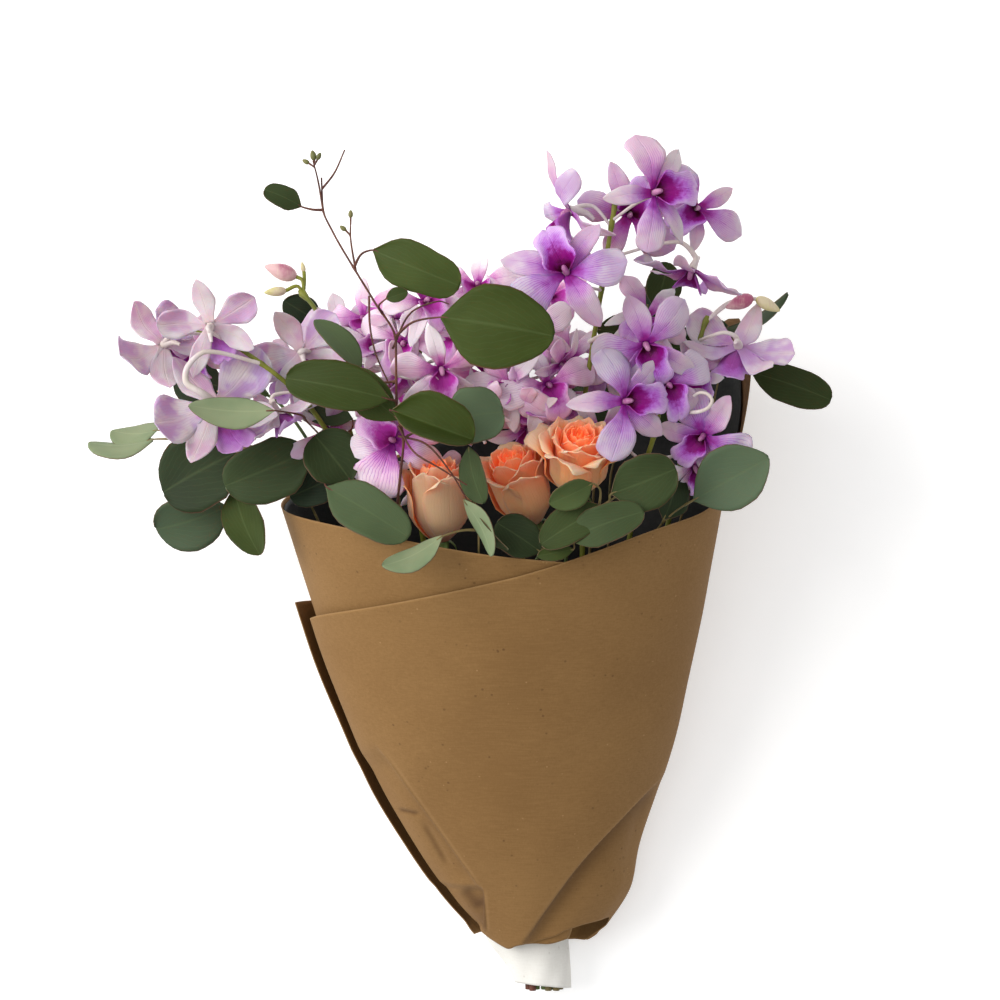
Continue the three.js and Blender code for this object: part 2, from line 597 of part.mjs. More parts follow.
function budOnStem({ at, dir, size }, stem) {
  const tip = vec(at);
  const way = vec(dir).normalize();
  const base = along(tip, way, -size * 0.5);
  const from = nearestOn(stem, base, 3);
  const parts = [bud(base.toArray(), dir, size)];
  if (from.distanceTo(base) > 1) parts.push(pipe([from, along(base, way, size * 0.2)], [1, 0.8], 4));
  return parts;
}

function spray(plant) {
  const stem = stemPoints(plant);
  return fused([
    stemPipe(plant),
    ...plant.blooms.map((one) => bloom(one, stem)),
    ...plant.buds.flatMap((one) => budOnStem(one, stem)),
  ]);
}

// A leaf's outline, in rows of share of its length, share of its width and rise.
const LARGE_LEAF = [[0.24, 0.8, 0.05], [0.54, 1, 0.07], [0.84, 0.72, 0.04]];
const SMALL_LEAF = [[0.3, 0.95, 0.05], [0.7, 0.95, 0.05]];

// A leaf from its base to its tip, on a petiole from the stem. With no roll its upper face looks up.
function leaf({ base, tip, width, roll }, stem) {
  const from = vec(base);
  const to = vec(tip);
  const heading = to.clone().sub(from).normalize();
  const length = from.distanceTo(to);
  const up = squareTo([0, 0, 1], heading).applyAxisAngle(heading, radians(roll));
  const side = heading.clone().cross(up);
  const outline = width < SMALL_LEAF_WIDTH ? SMALL_LEAF : LARGE_LEAF;
  const start = nearestOn(stem, from, 3);
  const bend = between(along(from, heading, -start.distanceTo(from) * 0.3), start, 0.35);
  const strip = (at, way) => {
    const across = squareTo(side, way.clone().normalize());
    return [-1, 1].map((t) => along(at, across, t * PETIOLE_HALF_WIDTH));
  };
  const row = (share, across, rise) =>
    [-1, 0, 1].map((t) =>
      along(
        along(along(from, heading, length * share), side, (width / 2) * across * t),
        up,
        length * rise + width * 0.09 * Math.abs(t) * across,
      ),
    );
  return blade(
    [
      strip(start, bend.clone().sub(start)),
      strip(bend, from.clone().sub(start)),
      strip(from, heading),
      ...outline.map(([share, across, rise]) => row(share, across, rise)),
      [to],
    ],
    BLADE,
  );
}

function branch(plant) {
  const stem = stemPoints(plant);
  return fused([
    stemPipe(plant),
    ...plant.leaves.map((one) => leaf(one, stem)),
    ...(plant.buds ?? []).flatMap((one) => budOnStem(one, stem)),
    ...(plant.twigs ?? []).map((points) => pipe(points.map(vec), points.map(() => 0.8), 4)),
  ]);
}

// Roses. Measures are shares of the head's radius.
const ROSE_BASE = 0.8; // from the head's centre back to where it sits on its hip
const ROSE_LAYERS = [ // petals, radius, top, half angle in degrees, how far the rim turns out when open
  { count: 3, radius: 0.45, top: 0.6, half: 58, out: 0.1 },
  { count: 4, radius: 0.82, top: 0.4, half: 44, out: 0.24 },
];
const BUD_LAYERS = [{ count: 3, radius: 0.7, top: 0.7, half: 56, out: -0.5 }];

function rosePetal(head, axis, size, turn, layer, open) {
  const start = squareTo([0.3, 0.2, 1], axis);
  const other = axis.clone().cross(start);
  const at = (radius, height, angle) => {
    const a = radians(angle);
    const out = start.clone().multiplyScalar(Math.cos(a)).addScaledVector(other, Math.sin(a));
    return along(along(head, out, radius * size), axis, height * size);
  };
  const row = (radius, height, half, droop) =>
    [-1, 0, 1].map((t) => at(radius * (1 + 0.05 * t), height - droop * t * t, turn + half * t));
  const { radius, top, half, out } = layer;
  return blade(
    [
      row(radius * 0.4, -0.66, half, 0),
      row(radius * 0.98, 0, half, 0.04),
      row(radius * (1 + out * open), top, half * 0.66, 0.14),
    ],
    ROSE_BLADE,
  );
}

function roseHead({ head, axis, size, open, closed }) {
  const centre = vec(head);
  const way = vec(axis).normalize();
  const parts = [];
  (closed ? BUD_LAYERS : ROSE_LAYERS).forEach((layer, ring) => {
    for (let k = 0; k < layer.count; k += 1) {
      parts.push(rosePetal(centre, way, size, (360 * k) / layer.count + ring * 37, layer, open));
    }
  });
  const heart = [-ROSE_BASE, -0.5, 0.2, 0.6].map((share) => along(centre, way, size * share));
  parts.push(pipe(heart, [0.2, 0.42, 0.24, 0.08].map((r) => r * size), 6));
  return fused(parts);
}

function roseStem(plant) {
  const centre = vec(plant.head);
  const way = vec(plant.axis).normalize();
  const seat = along(centre, way, -plant.size * ROSE_BASE - 0.3);
  const hip = plant.size * 0.22;
  const low = along(seat, way, -hip * 2.2);
  const rooted = { ...plant, stem: [...plant.stem, along(low, way, -6).toArray(), low.toArray()] };
  const parts = [stemPipe(rooted)];
  parts.push(pipe([low, along(seat, way, -hip * 1.1), seat], [1.4, hip, hip * 0.9], 6));
  const start = squareTo([0.3, 0.2, 1], way);
  for (let k = 0; k < 5; k += 1) {
    const out = start.clone().applyAxisAngle(way, radians(72 * k));
    const side = way.clone().cross(out);
    const row = (reach, back, width) =>
      [-1, 0, 1].map((t) => along(along(along(seat, out, reach), way, -back), side, width * t));
    parts.push(
      blade(
        [row(hip * 0.2, 0.9, 1.8), [along(along(seat, out, hip * 2.4), way, -6)]],
        BLADE,
      ),
    );
  }
  return fused(parts);
}

// The bouquet
const group = new THREE.Group();
const add = (name, solid, colour, roughness) => group.add(meshOf(name, solid, colour, roughness));

add("kraft_outer_sheet", outerSheet(), COLOURS.kraft, 0.85);
add("kraft_back_sheet", backSheet(), COLOURS.kraft, 0.85);
add("black_liner", liner(), COLOURS.liner, 0.6);
add(
  "white_stem_sleeve",
  ringRoundBundle(SLEEVE_FROM, SLEEVE_TO, BUNDLE_RADIUS + 0.4, LINER, 0.6, 16),
  COLOURS.white_paper,
  0.9,
);
add("stem_tie", ringRoundBundle(TIE_AT - 3, TIE_AT + 3, BUNDLE_RADIUS, 1.4, 0, 16), COLOURS.tie, 0.9);
for (const plant of ROSES) {
  add(plant.name, roseHead(plant), COLOURS.rose, 0.6);
  add(`${plant.name}_stem`, roseStem(plant), COLOURS.rose_green, 0.6);
}
for (const plant of SPRAYS) add(plant.name, spray(plant), COLOURS.orchid, 0.55);
for (const plant of BRANCHES) add(plant.name, branch(plant), COLOURS.eucalyptus, 0.6);

export default group;
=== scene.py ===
# A bouquet of orchids, roses and eucalyptus in kraft paper, lying on its back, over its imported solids
import math
import random

import bpy
import numpy as np
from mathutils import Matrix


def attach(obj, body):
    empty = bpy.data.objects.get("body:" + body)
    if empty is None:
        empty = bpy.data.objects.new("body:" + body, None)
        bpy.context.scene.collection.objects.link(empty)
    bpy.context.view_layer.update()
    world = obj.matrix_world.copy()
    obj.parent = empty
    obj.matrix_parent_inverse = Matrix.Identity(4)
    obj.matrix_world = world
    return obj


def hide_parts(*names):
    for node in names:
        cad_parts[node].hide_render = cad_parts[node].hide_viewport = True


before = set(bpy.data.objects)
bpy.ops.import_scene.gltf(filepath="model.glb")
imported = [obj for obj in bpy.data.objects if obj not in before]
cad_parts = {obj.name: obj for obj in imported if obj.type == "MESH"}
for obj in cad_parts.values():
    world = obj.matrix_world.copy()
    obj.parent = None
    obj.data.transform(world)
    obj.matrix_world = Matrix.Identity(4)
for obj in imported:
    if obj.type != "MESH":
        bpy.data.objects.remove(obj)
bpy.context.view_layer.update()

vary = random.Random(41).uniform

# Sizes in millimetres, as the solids have them
MM = 0.001
KRAFT = 0.6
LINER = 0.4
SLEEVE = 0.35
LAYER_STEP = 1.8
SHEET_LENGTH = 330
SHEET_PER_DEGREE = 2.2
WORN_WIDTH = 1.6
SPIRAL_STEP = 2.2
WRAP_SIDES = [  # along, left side, right side
    [-154, 0, 61], [-143, -9, 69], [-111, -35, 88], [-87, -51, 92], [-45, -75, 105], [11, -99, 119],
    [70, -119, 131], [144, -142, 142], [190, -155, 155], [270, -170, 166],
]
NECK = -140
NECK_HALF_HEIGHT = 32.4
FLARE = 0.27
FLAT_SHARE = 0.85
SPIRAL_START = 60
FRONT_START = 350
OUTER_END = 530
OUTER_TOP = [  # turn in degrees, upper edge of the outer sheet
    [60, 106], [90, 112], [135, 130], [180, 144], [225, 165], [270, 203], [315, 245], [338, 268],
    [352, 235], [366, 165], [378, 145], [408, 128], [450, 98], [490, 80], [530, 70],
]
OUTER_BOTTOM = [
    [60, -146], [90, -150], [180, -147], [270, -151], [300, -155], [330, -154], [352, -143], [372, -134],
    [407, -136], [428, -139.5], [439, -143.5], [452, -146], [464, -148], [480, -150], [494, -153],
    [506, -149], [530, -136],
]
FLAP_LIFT = [[60, 0], [430, 0], [480, 1.2], [530, 3.4]]
FIN_LIFT = [[177.5, 9.5], [195, 5], [215, 1.2], [240, 0], [345, 0]]
BACK_START = 177.5
BACK_END = 342
BACK_TOP = 80
LINER_END = 412.5
LINER_RAISED = 26
LINER_SHORT = [  # turn, how far the liner stays below the kraft paper's edge
    [60, 1.5], [300, 2], [330, 10], [352, 24], [366, 12], [384, 2], [412.5, 1.5],
]
FOLDS = [  # creases: from, to, bow, depth beyond the crease, run of the drop and of its painted shadow, how dark that painted shadow is
    [(15, -148), (106, -37), 6.5, 9.0, 2.2, 8.5, 0.95],
    [(-72, -20), (-10, -112), 0.0, 5.0, 1.4, 3.0, 0.5],
    [(-10, -110), (-8, -142), 0.0, 5.0, 1.4, 5.5, 1.0],
]
WRINKLES = [  # short dents beside the left crease: from, to, depth, half width, how dark the painted shade in the dent is
    [(-66, -58), (-54, -59), 1.2, 1.5, 0.9],
    [(-50, -67), (-36, -93), 1.0, 2.0, 0.55],
    [(-24, -112), (-13, -124), 1.6, 5.0, 0.8],
]
BLADE = 0.5
STEM_ACROSS = 4.6
STEM_PITCH = 5.3
STEM_TIP_RADIUS = 1.0
BUNDLE_CENTRE = 30
BUNDLE_FLOOR = 10.2
LOWEST_ROW = -2
TOP_ROW = 3
WRAP_MOUTH = 90
BUNDLE_END = -184
BUNDLE_TOP = -94
BUNDLE_RADIUS = 16.7
TIE_AT = -102
SLEEVE_SIDES = [  # along, left side, right side
    [-183, 12.4, 47.6], [-166, 4, 47], [-150, -8, 45], [-136, -13, 45], [-116, -24, 56],
]
SLEEVE_TURNS = (-200, 235)
SLEEVE_END = -182
SLEEVE_LENGTH = 64
SLEEVE_FLOOR = 4.2
TWINE_TURNS = 4
TWINE_WIDTH = 4.4
TWINE_LAY = 0.36
STRAND_TURNS = 9
STRAND_RADIUS = 0.42
LINE_STEP = 4.0  # between the points of a stem's plain line; the next two are of its body and of a stalk
CANE_STEP = 3.0
STALK_STEP = 1.5
HIP = 0.22  # of a rose head's size
ROSE_BASE = 0.8
ROSE_GLOW = 0.19  # painted glow: emission that stands in for light coming through the thin petals from behind
FULL_TURN = 2 * math.pi

# The studio, in metres
FLOOR = 4
AIM = (0, 0.1, 0.1)
WORLD_LIGHT = 0.54
LENS = 88.9
SENSOR = 36
CAMERA_AT = (0, 0.147, 1.7)


# Vectors and curves
def vec(values):
    return np.array(values, dtype=float)


def unit(v):
    return v / np.linalg.norm(v)


def square_to(v, axis):
    """The part of v that is square to the unit vector axis, as a unit vector."""
    v = vec(v)
    return unit(v - axis * v.dot(axis))


def turned(v, axis, degrees):
    """v turned about a unit axis."""
    a = math.radians(degrees)
    return v * math.cos(a) + np.cross(axis, v) * math.sin(a) + axis * axis.dot(v) * (1 - math.cos(a))


def smooth_step(low, high, at):
    t = np.clip((at - low) / (high - low), 0, 1)
    return t * t * (3 - 2 * t)


def hump(away):
    """A bell curve that is 1 at 0."""
    return np.exp(-(away**2))


def span(places, values, tangents, at):
    """A smooth curve's value between the two places on either side of `at`."""
    i = np.clip(np.searchsorted(places, at) - 1, 0, len(places) - 2)
    step = places[i + 1] - places[i]
    t = np.clip((at - places[i]) / step, 0, 1)
    if values.ndim > 1:
        t, step = t[:, None], step[:, None]
    low = values[i] * (1 + 2 * t) * (1 - t) ** 2 + tangents[i] * step * t * (1 - t) ** 2
    return low + values[i + 1] * t * t * (3 - 2 * t) - tangents[i + 1] * step * t * t * (1 - t)


def smooth_on(rows, at, column=1):
    """The value at `at` on a smooth curve through [place, value...] rows, which doesn't overshoot them."""
    places = vec([row[0] for row in rows])
    values = vec([row[column] for row in rows])
    slopes = np.diff(values) / np.diff(places)
    tangents = np.empty(len(places))
    tangents[0], tangents[-1] = slopes[0], slopes[-1]
    product = slopes[:-1] * slopes[1:]
    total = np.where(product > 0, slopes[:-1] + slopes[1:], 1)
    tangents[1:-1] = np.where(product > 0, 2 * product / total, 0)
    return span(places, values, tangents, at)


def stations(points, spacing):
    """How far along a line its points lie, and evenly spaced places on it."""
    places = np.concatenate([[0], np.cumsum(np.linalg.norm(np.diff(points, axis=0), axis=1))])
    return places, np.linspace(0, places[-1], max(len(points) + 1, int(places[-1] / spacing) + 2))


def smooth_path(points, spacing):
    """A smooth line through points, with each point's share of the way, and the given ones' shares."""
    points = vec(points)
    places, at = stations(points, spacing)
    line = [smooth_on(np.column_stack([places, points[:, k]]), at) for k in range(3)]
    return np.stack(line, axis=1), at / places[-1], places / places[-1]


def curled_path(points, spacing):
    """A line through points that bends as roundly as a wire, for stalks that loop or turn back."""
    points = vec(points)
    places, at = stations(points, spacing)
    tangents = np.empty_like(points)
    tangents[0] = unit(points[1] - points[0])
    tangents[-1] = unit(points[-1] - points[-2])
    tangents[1:-1] = (points[2:] - points[:-2]) / (places[2:] - places[:-2])[:, None]
    return span(places, points, tangents, at), at / places[-1]


# Shapes: vertices in millimetres with what the materials read on them
class Shape:
    def __init__(self):
        self.points, self.uvs, self.faces, self.slots, self.flat = [], [], [], [], []
        self.values = {"tone": [], "underside": [], "shade": []}

    def add(self, points, uvs, **values):
        start = len(self.points)
        points = np.asarray(points, dtype=float).reshape(-1, 3)
        self.points.extend(points.tolist())
        self.uvs.extend(uvs.reshape(-1, 2).tolist())
        for name, value in values.items():
            self.values[name].extend([float(value)] * len(points))
        return start

    def face(self, corners, slot=0, flat=False):
        self.faces.append([int(n) for n in corners])
        self.slots.append(slot)
        self.flat.append(flat)


def grid_uvs(rows, columns, places=None):
    along = np.linspace(0, 1, rows) if places is None else places
    return np.stack(np.meshgrid(np.linspace(0, 1, columns), along), axis=2)


def add_blade(shape, grid, thickness, places=None, slot=0, tone=0.5, shade=0.5):
    """A closed thin body over a grid of points, with half the thickness on each side of it."""
    rows, columns = grid.shape[:2]
    normal = np.cross(np.gradient(grid, axis=1), np.gradient(grid, axis=0))
    normal = normal / np.maximum(np.linalg.norm(normal, axis=2, keepdims=True), 1e-9)
    uvs = grid_uvs(rows, columns, places)
    front = shape.add(grid + normal * thickness / 2, uvs, tone=tone, underside=0, shade=shade)
    back = shape.add(grid - normal * thickness / 2, uvs, tone=tone, underside=1, shade=shade)
    number = np.arange(rows * columns).reshape(rows, columns)
    for i in range(rows - 1):
        for j in range(columns - 1):
            corners = [number[i, j], number[i, j + 1], number[i + 1, j + 1], number[i + 1, j]]
            shape.face([front + n for n in corners], slot)
            shape.face([back + n for n in reversed(corners)], slot)
    loop = [*number[0], *number[1:, -1], *number[-1, -2::-1], *number[-2:0:-1, 0]]
    for a, b in zip(loop, loop[1:] + loop[:1]):
        shape.face((front + b, front + a, back + a, back + b), slot, True)


def add_tube(shape, points, radii, sides, slot=0, tone=0.5, shade=0.5):
    """A closed round body through points, with a radius at each."""
    across = (0, 0, 1)
    rings = []
    turns = np.linspace(0, FULL_TURN, sides, endpoint=False)
    for i, p in enumerate(points):
        heading = unit(points[min(i + 1, len(points) - 1)] - points[max(i - 1, 0)])
        across = square_to((1, 0, 0) if abs(vec(across).dot(heading)) > 0.98 else across, heading)
        circle = np.outer(np.cos(turns), across) + np.outer(np.sin(turns), np.cross(heading, across))
        rings.append(p + circle * radii[i])
    start = shape.add(rings, grid_uvs(len(points), sides), tone=tone, underside=0, shade=shade)
    last = start + (len(points) - 1) * sides
    for ring in range(start, last, sides):
        for k in range(sides):
            a, b = ring + k, ring + (k + 1) % sides
            shape.face((a, b, b + sides, a + sides), slot)
    shape.face(range(start + sides - 1, start - 1, -1), slot)
    shape.face(range(last, last + sides), slot)


def place_piece(name, mesh, node):
    piece = bpy.data.objects.new(name, mesh)
    bpy.context.scene.collection.objects.link(piece)
    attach(piece, "root")
    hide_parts(node)


def make_piece(name, shape, materials, node):
    mesh = bpy.data.meshes.new(name)
    mesh.from_pydata((np.array(shape.points) * MM).tolist(), [], shape.faces)
    corners = np.empty(len(mesh.loops), dtype=np.int32)
    mesh.loops.foreach_get("vertex_index", corners)
    mesh.uv_layers.new(name="blade").data.foreach_set("uv", np.array(shape.uvs)[corners].ravel())
    for key, values in shape.values.items():
        mesh.attributes.new(key, "FLOAT", "POINT").data.foreach_set("value", values)
    for material in materials:
        mesh.materials.append(material)
    mesh.polygons.foreach_set("material_index", shape.slots)
    mesh.shade_smooth()
    if "sharp_face" not in mesh.attributes:
        mesh.attributes.new("sharp_face", "BOOLEAN", "FACE")
    mesh.attributes["sharp_face"].data.foreach_set("value", shape.flat)
    mesh.validate()
    mesh.update()
    place_piece(name, mesh, node)


# Node trees
class Field:
    """What a node's socket gives out, so that shading can be written as sums."""

    def __init__(self, tree, socket):
        self.tree, self.socket = tree, socket

    def __call__(self, name):
        """What another socket of the same node gives out."""
        return Field(self.tree, self.socket.node.outputs[name])

    def maths(self, operation, *values):
        return add(self.tree, "ShaderNodeMath", dict(enumerate((self, *values))), operation=operation)

    def __add__(self, other):
        return self.maths("ADD", other)

    def __sub__(self, other):
        return self.maths("SUBTRACT", other)

    def __mul__(self, other):
        return self.maths("MULTIPLY", other)

    def __truediv__(self, other):
        return self.maths("DIVIDE", other)

    def __pow__(self, other):
        return self.maths("POWER", other)

    def __abs__(self):
        return self.maths("ABSOLUTE")

    def over(self, low, high, to_low=0.0, to_high=1.0, kind="SMOOTHSTEP"):
        """Runs from to_low to to_high while the value goes from low to high."""
        values = {"Value": self, "From Min": low, "From Max": high, "To Min": to_low, "To Max": to_high}
        return add(self.tree, "ShaderNodeMapRange", values, "Result", interpolation_type=kind)


def add(tree, kind, inputs=None, out=0, **settings):
    """A new node with its inputs and settings. A colour is given as the photograph shows it, 0 to 255."""
    node = tree.nodes.new(kind)
    for name, value in settings.items():
        setattr(node, name, value)
    for name, value in (inputs or {}).items():
        if isinstance(value, Field):
            tree.links.new(value.socket, node.inputs[name])
        elif node.inputs[name].type == "RGBA":
            node.inputs[name].default_value = linear(value)
        else:
            node.inputs[name].default_value = value
    return Field(tree, node.outputs[out])


def linear(colour):
    """A colour of the photograph in the linear values that the shaders use."""
    shares = [c / 255 for c in colour]
    return (*(c / 12.92 if c <= 0.04045 else ((c + 0.055) / 1.055) ** 2.4 for c in shares), 1.0)


def mix(share, a, b):
    return add(share.tree, "ShaderNodeMix", {0: share, 6: a, 7: b}, 2, data_type="RGBA")


def layered(colour, *layers):
    """A colour with others laid over it in turn; a layer is its share and its colour."""
    for share, paint in layers:
        colour = mix(share, colour, paint)
    return colour


def by_way_of(share, low, middle, high):
    """A colour that runs from low by middle to high as share goes from 0 to 1."""
    first = mix(share.over(0.0, 0.5, kind="LINEAR"), low, middle)
    return mix(share.over(0.5, 1.0, kind="LINEAR"), first, high)


def noise(vector, scale, detail=3.0, roughness=0.55):
    values = {"Vector": vector, "Scale": scale, "Detail": detail, "Roughness": roughness}
    return add(vector.tree, "ShaderNodeTexNoise", values, "Fac")


def stretched(vector, scale, turn=0.0):
    values = {"Vector": vector, "Scale": scale, "Rotation": (0, 0, turn)}
    return add(vector.tree, "ShaderNodeMapping", values)


def attribute(tree, name):
    return add(tree, "ShaderNodeAttribute", None, "Fac", attribute_name=name)


def new_group(name, kind, inputs, outputs):
    """An empty node group and its inputs by name. Sockets are given by name, with their kind."""
    tree = bpy.data.node_groups.new(name, kind)
    for way, sockets in (("INPUT", inputs), ("OUTPUT", outputs)):
        for label, socket in sockets.items():
            tree.interface.new_socket(name=label, in_out=way, socket_type="NodeSocket" + socket)
    sockets = tree.nodes.new("NodeGroupInput").outputs
    return tree, {label: Field(tree, sockets[label]) for label in inputs}


def give_out(tree, values):
    """Ends a node group with what it gives out, by name."""
    node = tree.nodes.new("NodeGroupOutput")
    for name, value in values.items():
        tree.links.new(value.socket, node.inputs[name])
    return tree


def paper_group():
    """Fibres, machine streaks, flecks and cockling of paper."""
    inputs = {"Vector": "Vector", "Fibre": "Float"}
    names = ("Tone", "Fleck", "Pale Fleck", "Height")
    tree, given = new_group("paper fibres", "ShaderNodeTree", inputs, dict.fromkeys(names, "Float"))
    place = given["Vector"]
    streaks = noise(stretched(place, (0.07, 1.0, 0.5)), given["Fibre"], 4.0, 0.65)
    cross = noise(stretched(place, (1.0, 0.25, 1.0), 0.4), given["Fibre"], 3.0, 0.6)
    both = streaks * 0.6 + cross * 0.4
    result = {"Tone": both * 0.62 + noise(place, 11.0, 3.0, 0.5) * 0.38}
    result["Height"] = both * 0.35 + noise(place, 34.0, 2.0) * 0.65
    flecks = ("Fleck", (3.1, 0.4, 1.7), 0.17, 0.08), ("Pale Fleck", (7.9, 5.2, 0.6), 0.12, 0.05)
    for label, seed, low, high in flecks:
        moved = add(tree, "ShaderNodeVectorMath", {0: place, 1: seed}, operation="ADD")
        cells = add(tree, "ShaderNodeTexVoronoi", {"Vector": moved, "Scale": 150.0}, "Distance")
        result[label] = cells.over(low, high) * noise(moved, 43.0, 1.0).over(0.5, 0.66)
    return give_out(tree, result)


def veins_group():
    """Veins that run out along a petal or leaf, its midrib and mottling. UV: across, along."""
    inputs = {"UV": "Vector", "Place": "Vector", "Veins": "Float", "Slant": "Float"}
    names = ("Along", "Across", "Vein", "Midrib", "Mottle", "Height")
    tree, given = new_group("blade veins", "ShaderNodeTree", inputs, dict.fromkeys(names, "Float"))
    parts = add(tree, "ShaderNodeSeparateXYZ", {0: given["UV"]})
    along, across = parts("Y"), abs(parts("X") * 2.0 - 1.0)
    mottle = noise(given["Place"], 95.0, 4.0, 0.6)
    wobble = (noise(given["Place"], 160.0, 2.0) - 0.5) * 0.16
    lane = across + along * given["Slant"] + wobble
    vein = abs((lane * (given["Veins"] * math.pi)).maths("SINE")).over(0.42, 0.0)
    midrib = across.over(0.07, 0.0)
    height = vein * -0.5 + midrib * -0.9 + mottle * 0.6
    return give_out(tree, dict(zip(names, (along, across, vein, midrib, mottle, height))))


PAPER = paper_group()
VEINS = veins_group()


# Materials
def new_material(name, roughness, **constants):
    """A material, its shader and the place on the object; constants are set on the shader's own sockets."""
    material = bpy.data.materials.new(name)
    material.use_nodes = True
    shader = material.node_tree.nodes["Principled BSDF"]
    for label, value in {"Roughness": roughness, **constants}.items():
        shader.inputs[label.replace("_", " ")].default_value = value
    return material, shader, add(material.node_tree, "ShaderNodeTexCoord", out="Object")


def lit(shader, colour, roughness=None, height=None, strength=0.3, depth=0.0004):
    tree = colour.tree
    given = {"Base Color": colour}
    if roughness is not None:
        given["Roughness"] = roughness
    if height is not None:
        bump = {"Strength": strength, "Distance": depth, "Height": height}
        given["Normal"] = add(tree, "ShaderNodeBump", bump)
    for label, value in given.items():
        tree.links.new(value.socket, shader.inputs[label])


def paper_material(name, dark, pale, fleck_and_shade, pale_fleck, rough, fibre, depth):
    material, shader, place = new_material(name, rough, Specular_IOR_Level=0.3)
    seen = add(place.tree, "ShaderNodeGroup", {"Vector": place, "Fibre": fibre}, node_tree=PAPER)
    painted_shade_and_crests = attribute(place.tree, "shade")
    colour = layered(
        mix(seen("Tone").over(0.34, 0.66), dark, pale),
        (seen("Fleck") * 0.5, fleck_and_shade),
        (seen("Pale Fleck") * 0.5, pale_fleck),
        (attribute(place.tree, "tone").over(0.5, 1.0) * 0.35, pale_fleck),
        # Painted shade from the sheet's shade attribute, in creases, dents and at the wrap's mouth, in the
        # dark fleck colour; above a half, a lighter line along creases
        (painted_shade_and_crests.over(0.5, 0.0, kind="LINEAR") * 0.72, fleck_and_shade),
        (painted_shade_and_crests.over(0.5, 1.0, kind="LINEAR") * 0.6, pale_fleck),
    )
    rough = seen("Tone").over(0.3, 0.7, rough + 0.06, rough - 0.05)
    lit(shader, colour, rough, seen("Height"), depth=depth)
    return material


def veined(name, roughness, veins, slant=0.0, **constants):
    """A blade's material and shader, what the veins group sees, its place, tone, shade and underside."""
    material, shader, place = new_material(name, roughness, **constants)
    tree = place.tree
    uv = add(tree, "ShaderNodeUVMap", uv_map="blade")
    inputs = {"UV": uv, "Place": place, "Veins": veins, "Slant": slant}
    seen = add(tree, "ShaderNodeGroup", inputs, node_tree=VEINS)
    values = (attribute(tree, label) for label in ("tone", "shade", "underside"))
    return material, shader, seen, place, *values


def petal_material(name, tips, backs, flushes, streaks):
    """White, pink or lavender tips by shade, and violet towards the heart by tone."""
    material, shader, seen, place, tone, shade, under = veined(
        name, 0.55, 8.0, Subsurface_Weight=0.15, Subsurface_Scale=0.004, Specular_IOR_Level=0.2,
    )
    white, across, vein = tips[0], seen("Across"), seen("Vein")
    along = seen("Along") + (noise(place, 150.0, 2.0, 0.5) - 0.5) * 0.4 + across * 0.1 - vein * 0.24
    flush = (along / (tone * 0.38 + 0.23)).over(1.3, 0.2)
    heart = (along / (tone * 0.3 + 0.06)).over(1.0, 0.2)
    flushed = mix(tone, *flushes)
    patch = noise(place, 70.0, 2.0, 0.5)
    face = layered(
        by_way_of(shade, *tips),
        ((patch + across * 0.16).over(0.48, 0.7) * 0.5, white),
        (vein * streaks, (166, 126, 176)),
        (flush * 0.93, flushed),
        (heart * 0.95, (128, 10, 120)),
        (flush * vein * 0.5, (126, 30, 148)),
    )
    back = layered(
        mix(patch.over(0.62, 0.42), white, by_way_of(shade, white, *backs)),
        (seen("Along").over(0.3, 0.0), (202, 192, 178)),
        (across.over(0.35, 0.0) * 0.6, (206, 198, 192)),
        (across.over(0.82, 1.0) * 0.4, (212, 206, 208)),
        (vein * 0.25, (154, 112, 162)),
        (flush * (tone * 0.55), flushed),
    )
    rough = seen("Mottle").over(0.3, 0.7, 0.46, 0.62)
    lit(shader, mix(under * 0.8, face, back), rough, seen("Height"), strength=0.4, depth=0.0006)
    return material


def lip_material(name, margin, pale_margin, dark, throat):
    """Darkest in the throat, a strong colour round it, and a lavender margin it runs out into in rays."""
    material, shader, seen, place, _, _, under = veined(
        name, 0.5, 11.0, Subsurface_Weight=0.1, Subsurface_Scale=0.003, Specular_IOR_Level=0.15,
    )
    ragged = (noise(place, 330.0, 3.0, 0.6) - 0.5) * 0.4
    out = seen("Along") + seen("Across") ** 3.0 * 0.5 + (ragged - seen("Vein") * 0.12)
    skirt = layered(mix(out.over(0.6, 1.05), margin, pale_margin), (seen("Vein") * 0.45, (126, 44, 138)))
    colour = layered(skirt, (out.over(0.72, 0.5), dark), (out.over(0.46, 0.16), throat))
    colour = mix(under * 0.5, colour, (160, 96, 170))
    lit(shader, colour, None, seen("Height"), strength=0.4, depth=0.0005)
    return material


def leaf_material():
    """Tone runs from blue-green to olive, and shade is how much of its pale bloom the upper side wears."""
    material, shader, seen, place, tone, shade, under = veined(
        "eucalyptus leaf", 0.6, 6.0, 0.9, Specular_IOR_Level=0.12, Subsurface_Weight=0.04,
        Subsurface_Scale=0.002,
    )
    cloud = noise(place, 26.0, 3.0)
    upper = layered(
        mix(tone, (27, 38, 29), (54, 66, 18)),
        (cloud.over(0.35, 0.7), mix(tone, (36, 48, 36), (62, 74, 28))),
        (shade, mix(cloud, (104, 126, 100), (118, 136, 104))),
        (seen("Vein") * 0.05, (104, 122, 84)),
        (seen("Midrib") * 0.16, (100, 116, 74)),
    )
    lower = mix(cloud.over(0.35, 0.7), (108, 124, 92), (128, 138, 106))
    lower = mix(seen("Midrib") * 0.35, lower, (150, 158, 122))
    colour = layered(mix(under, upper, lower), (seen("Across").over(0.955, 1.0) * 0.6, (100, 62, 50)))
    lit(shader, colour, cloud.over(0.3, 0.7, 0.54, 0.68), seen("Height"), strength=0.18, depth=0.0004)
    return material


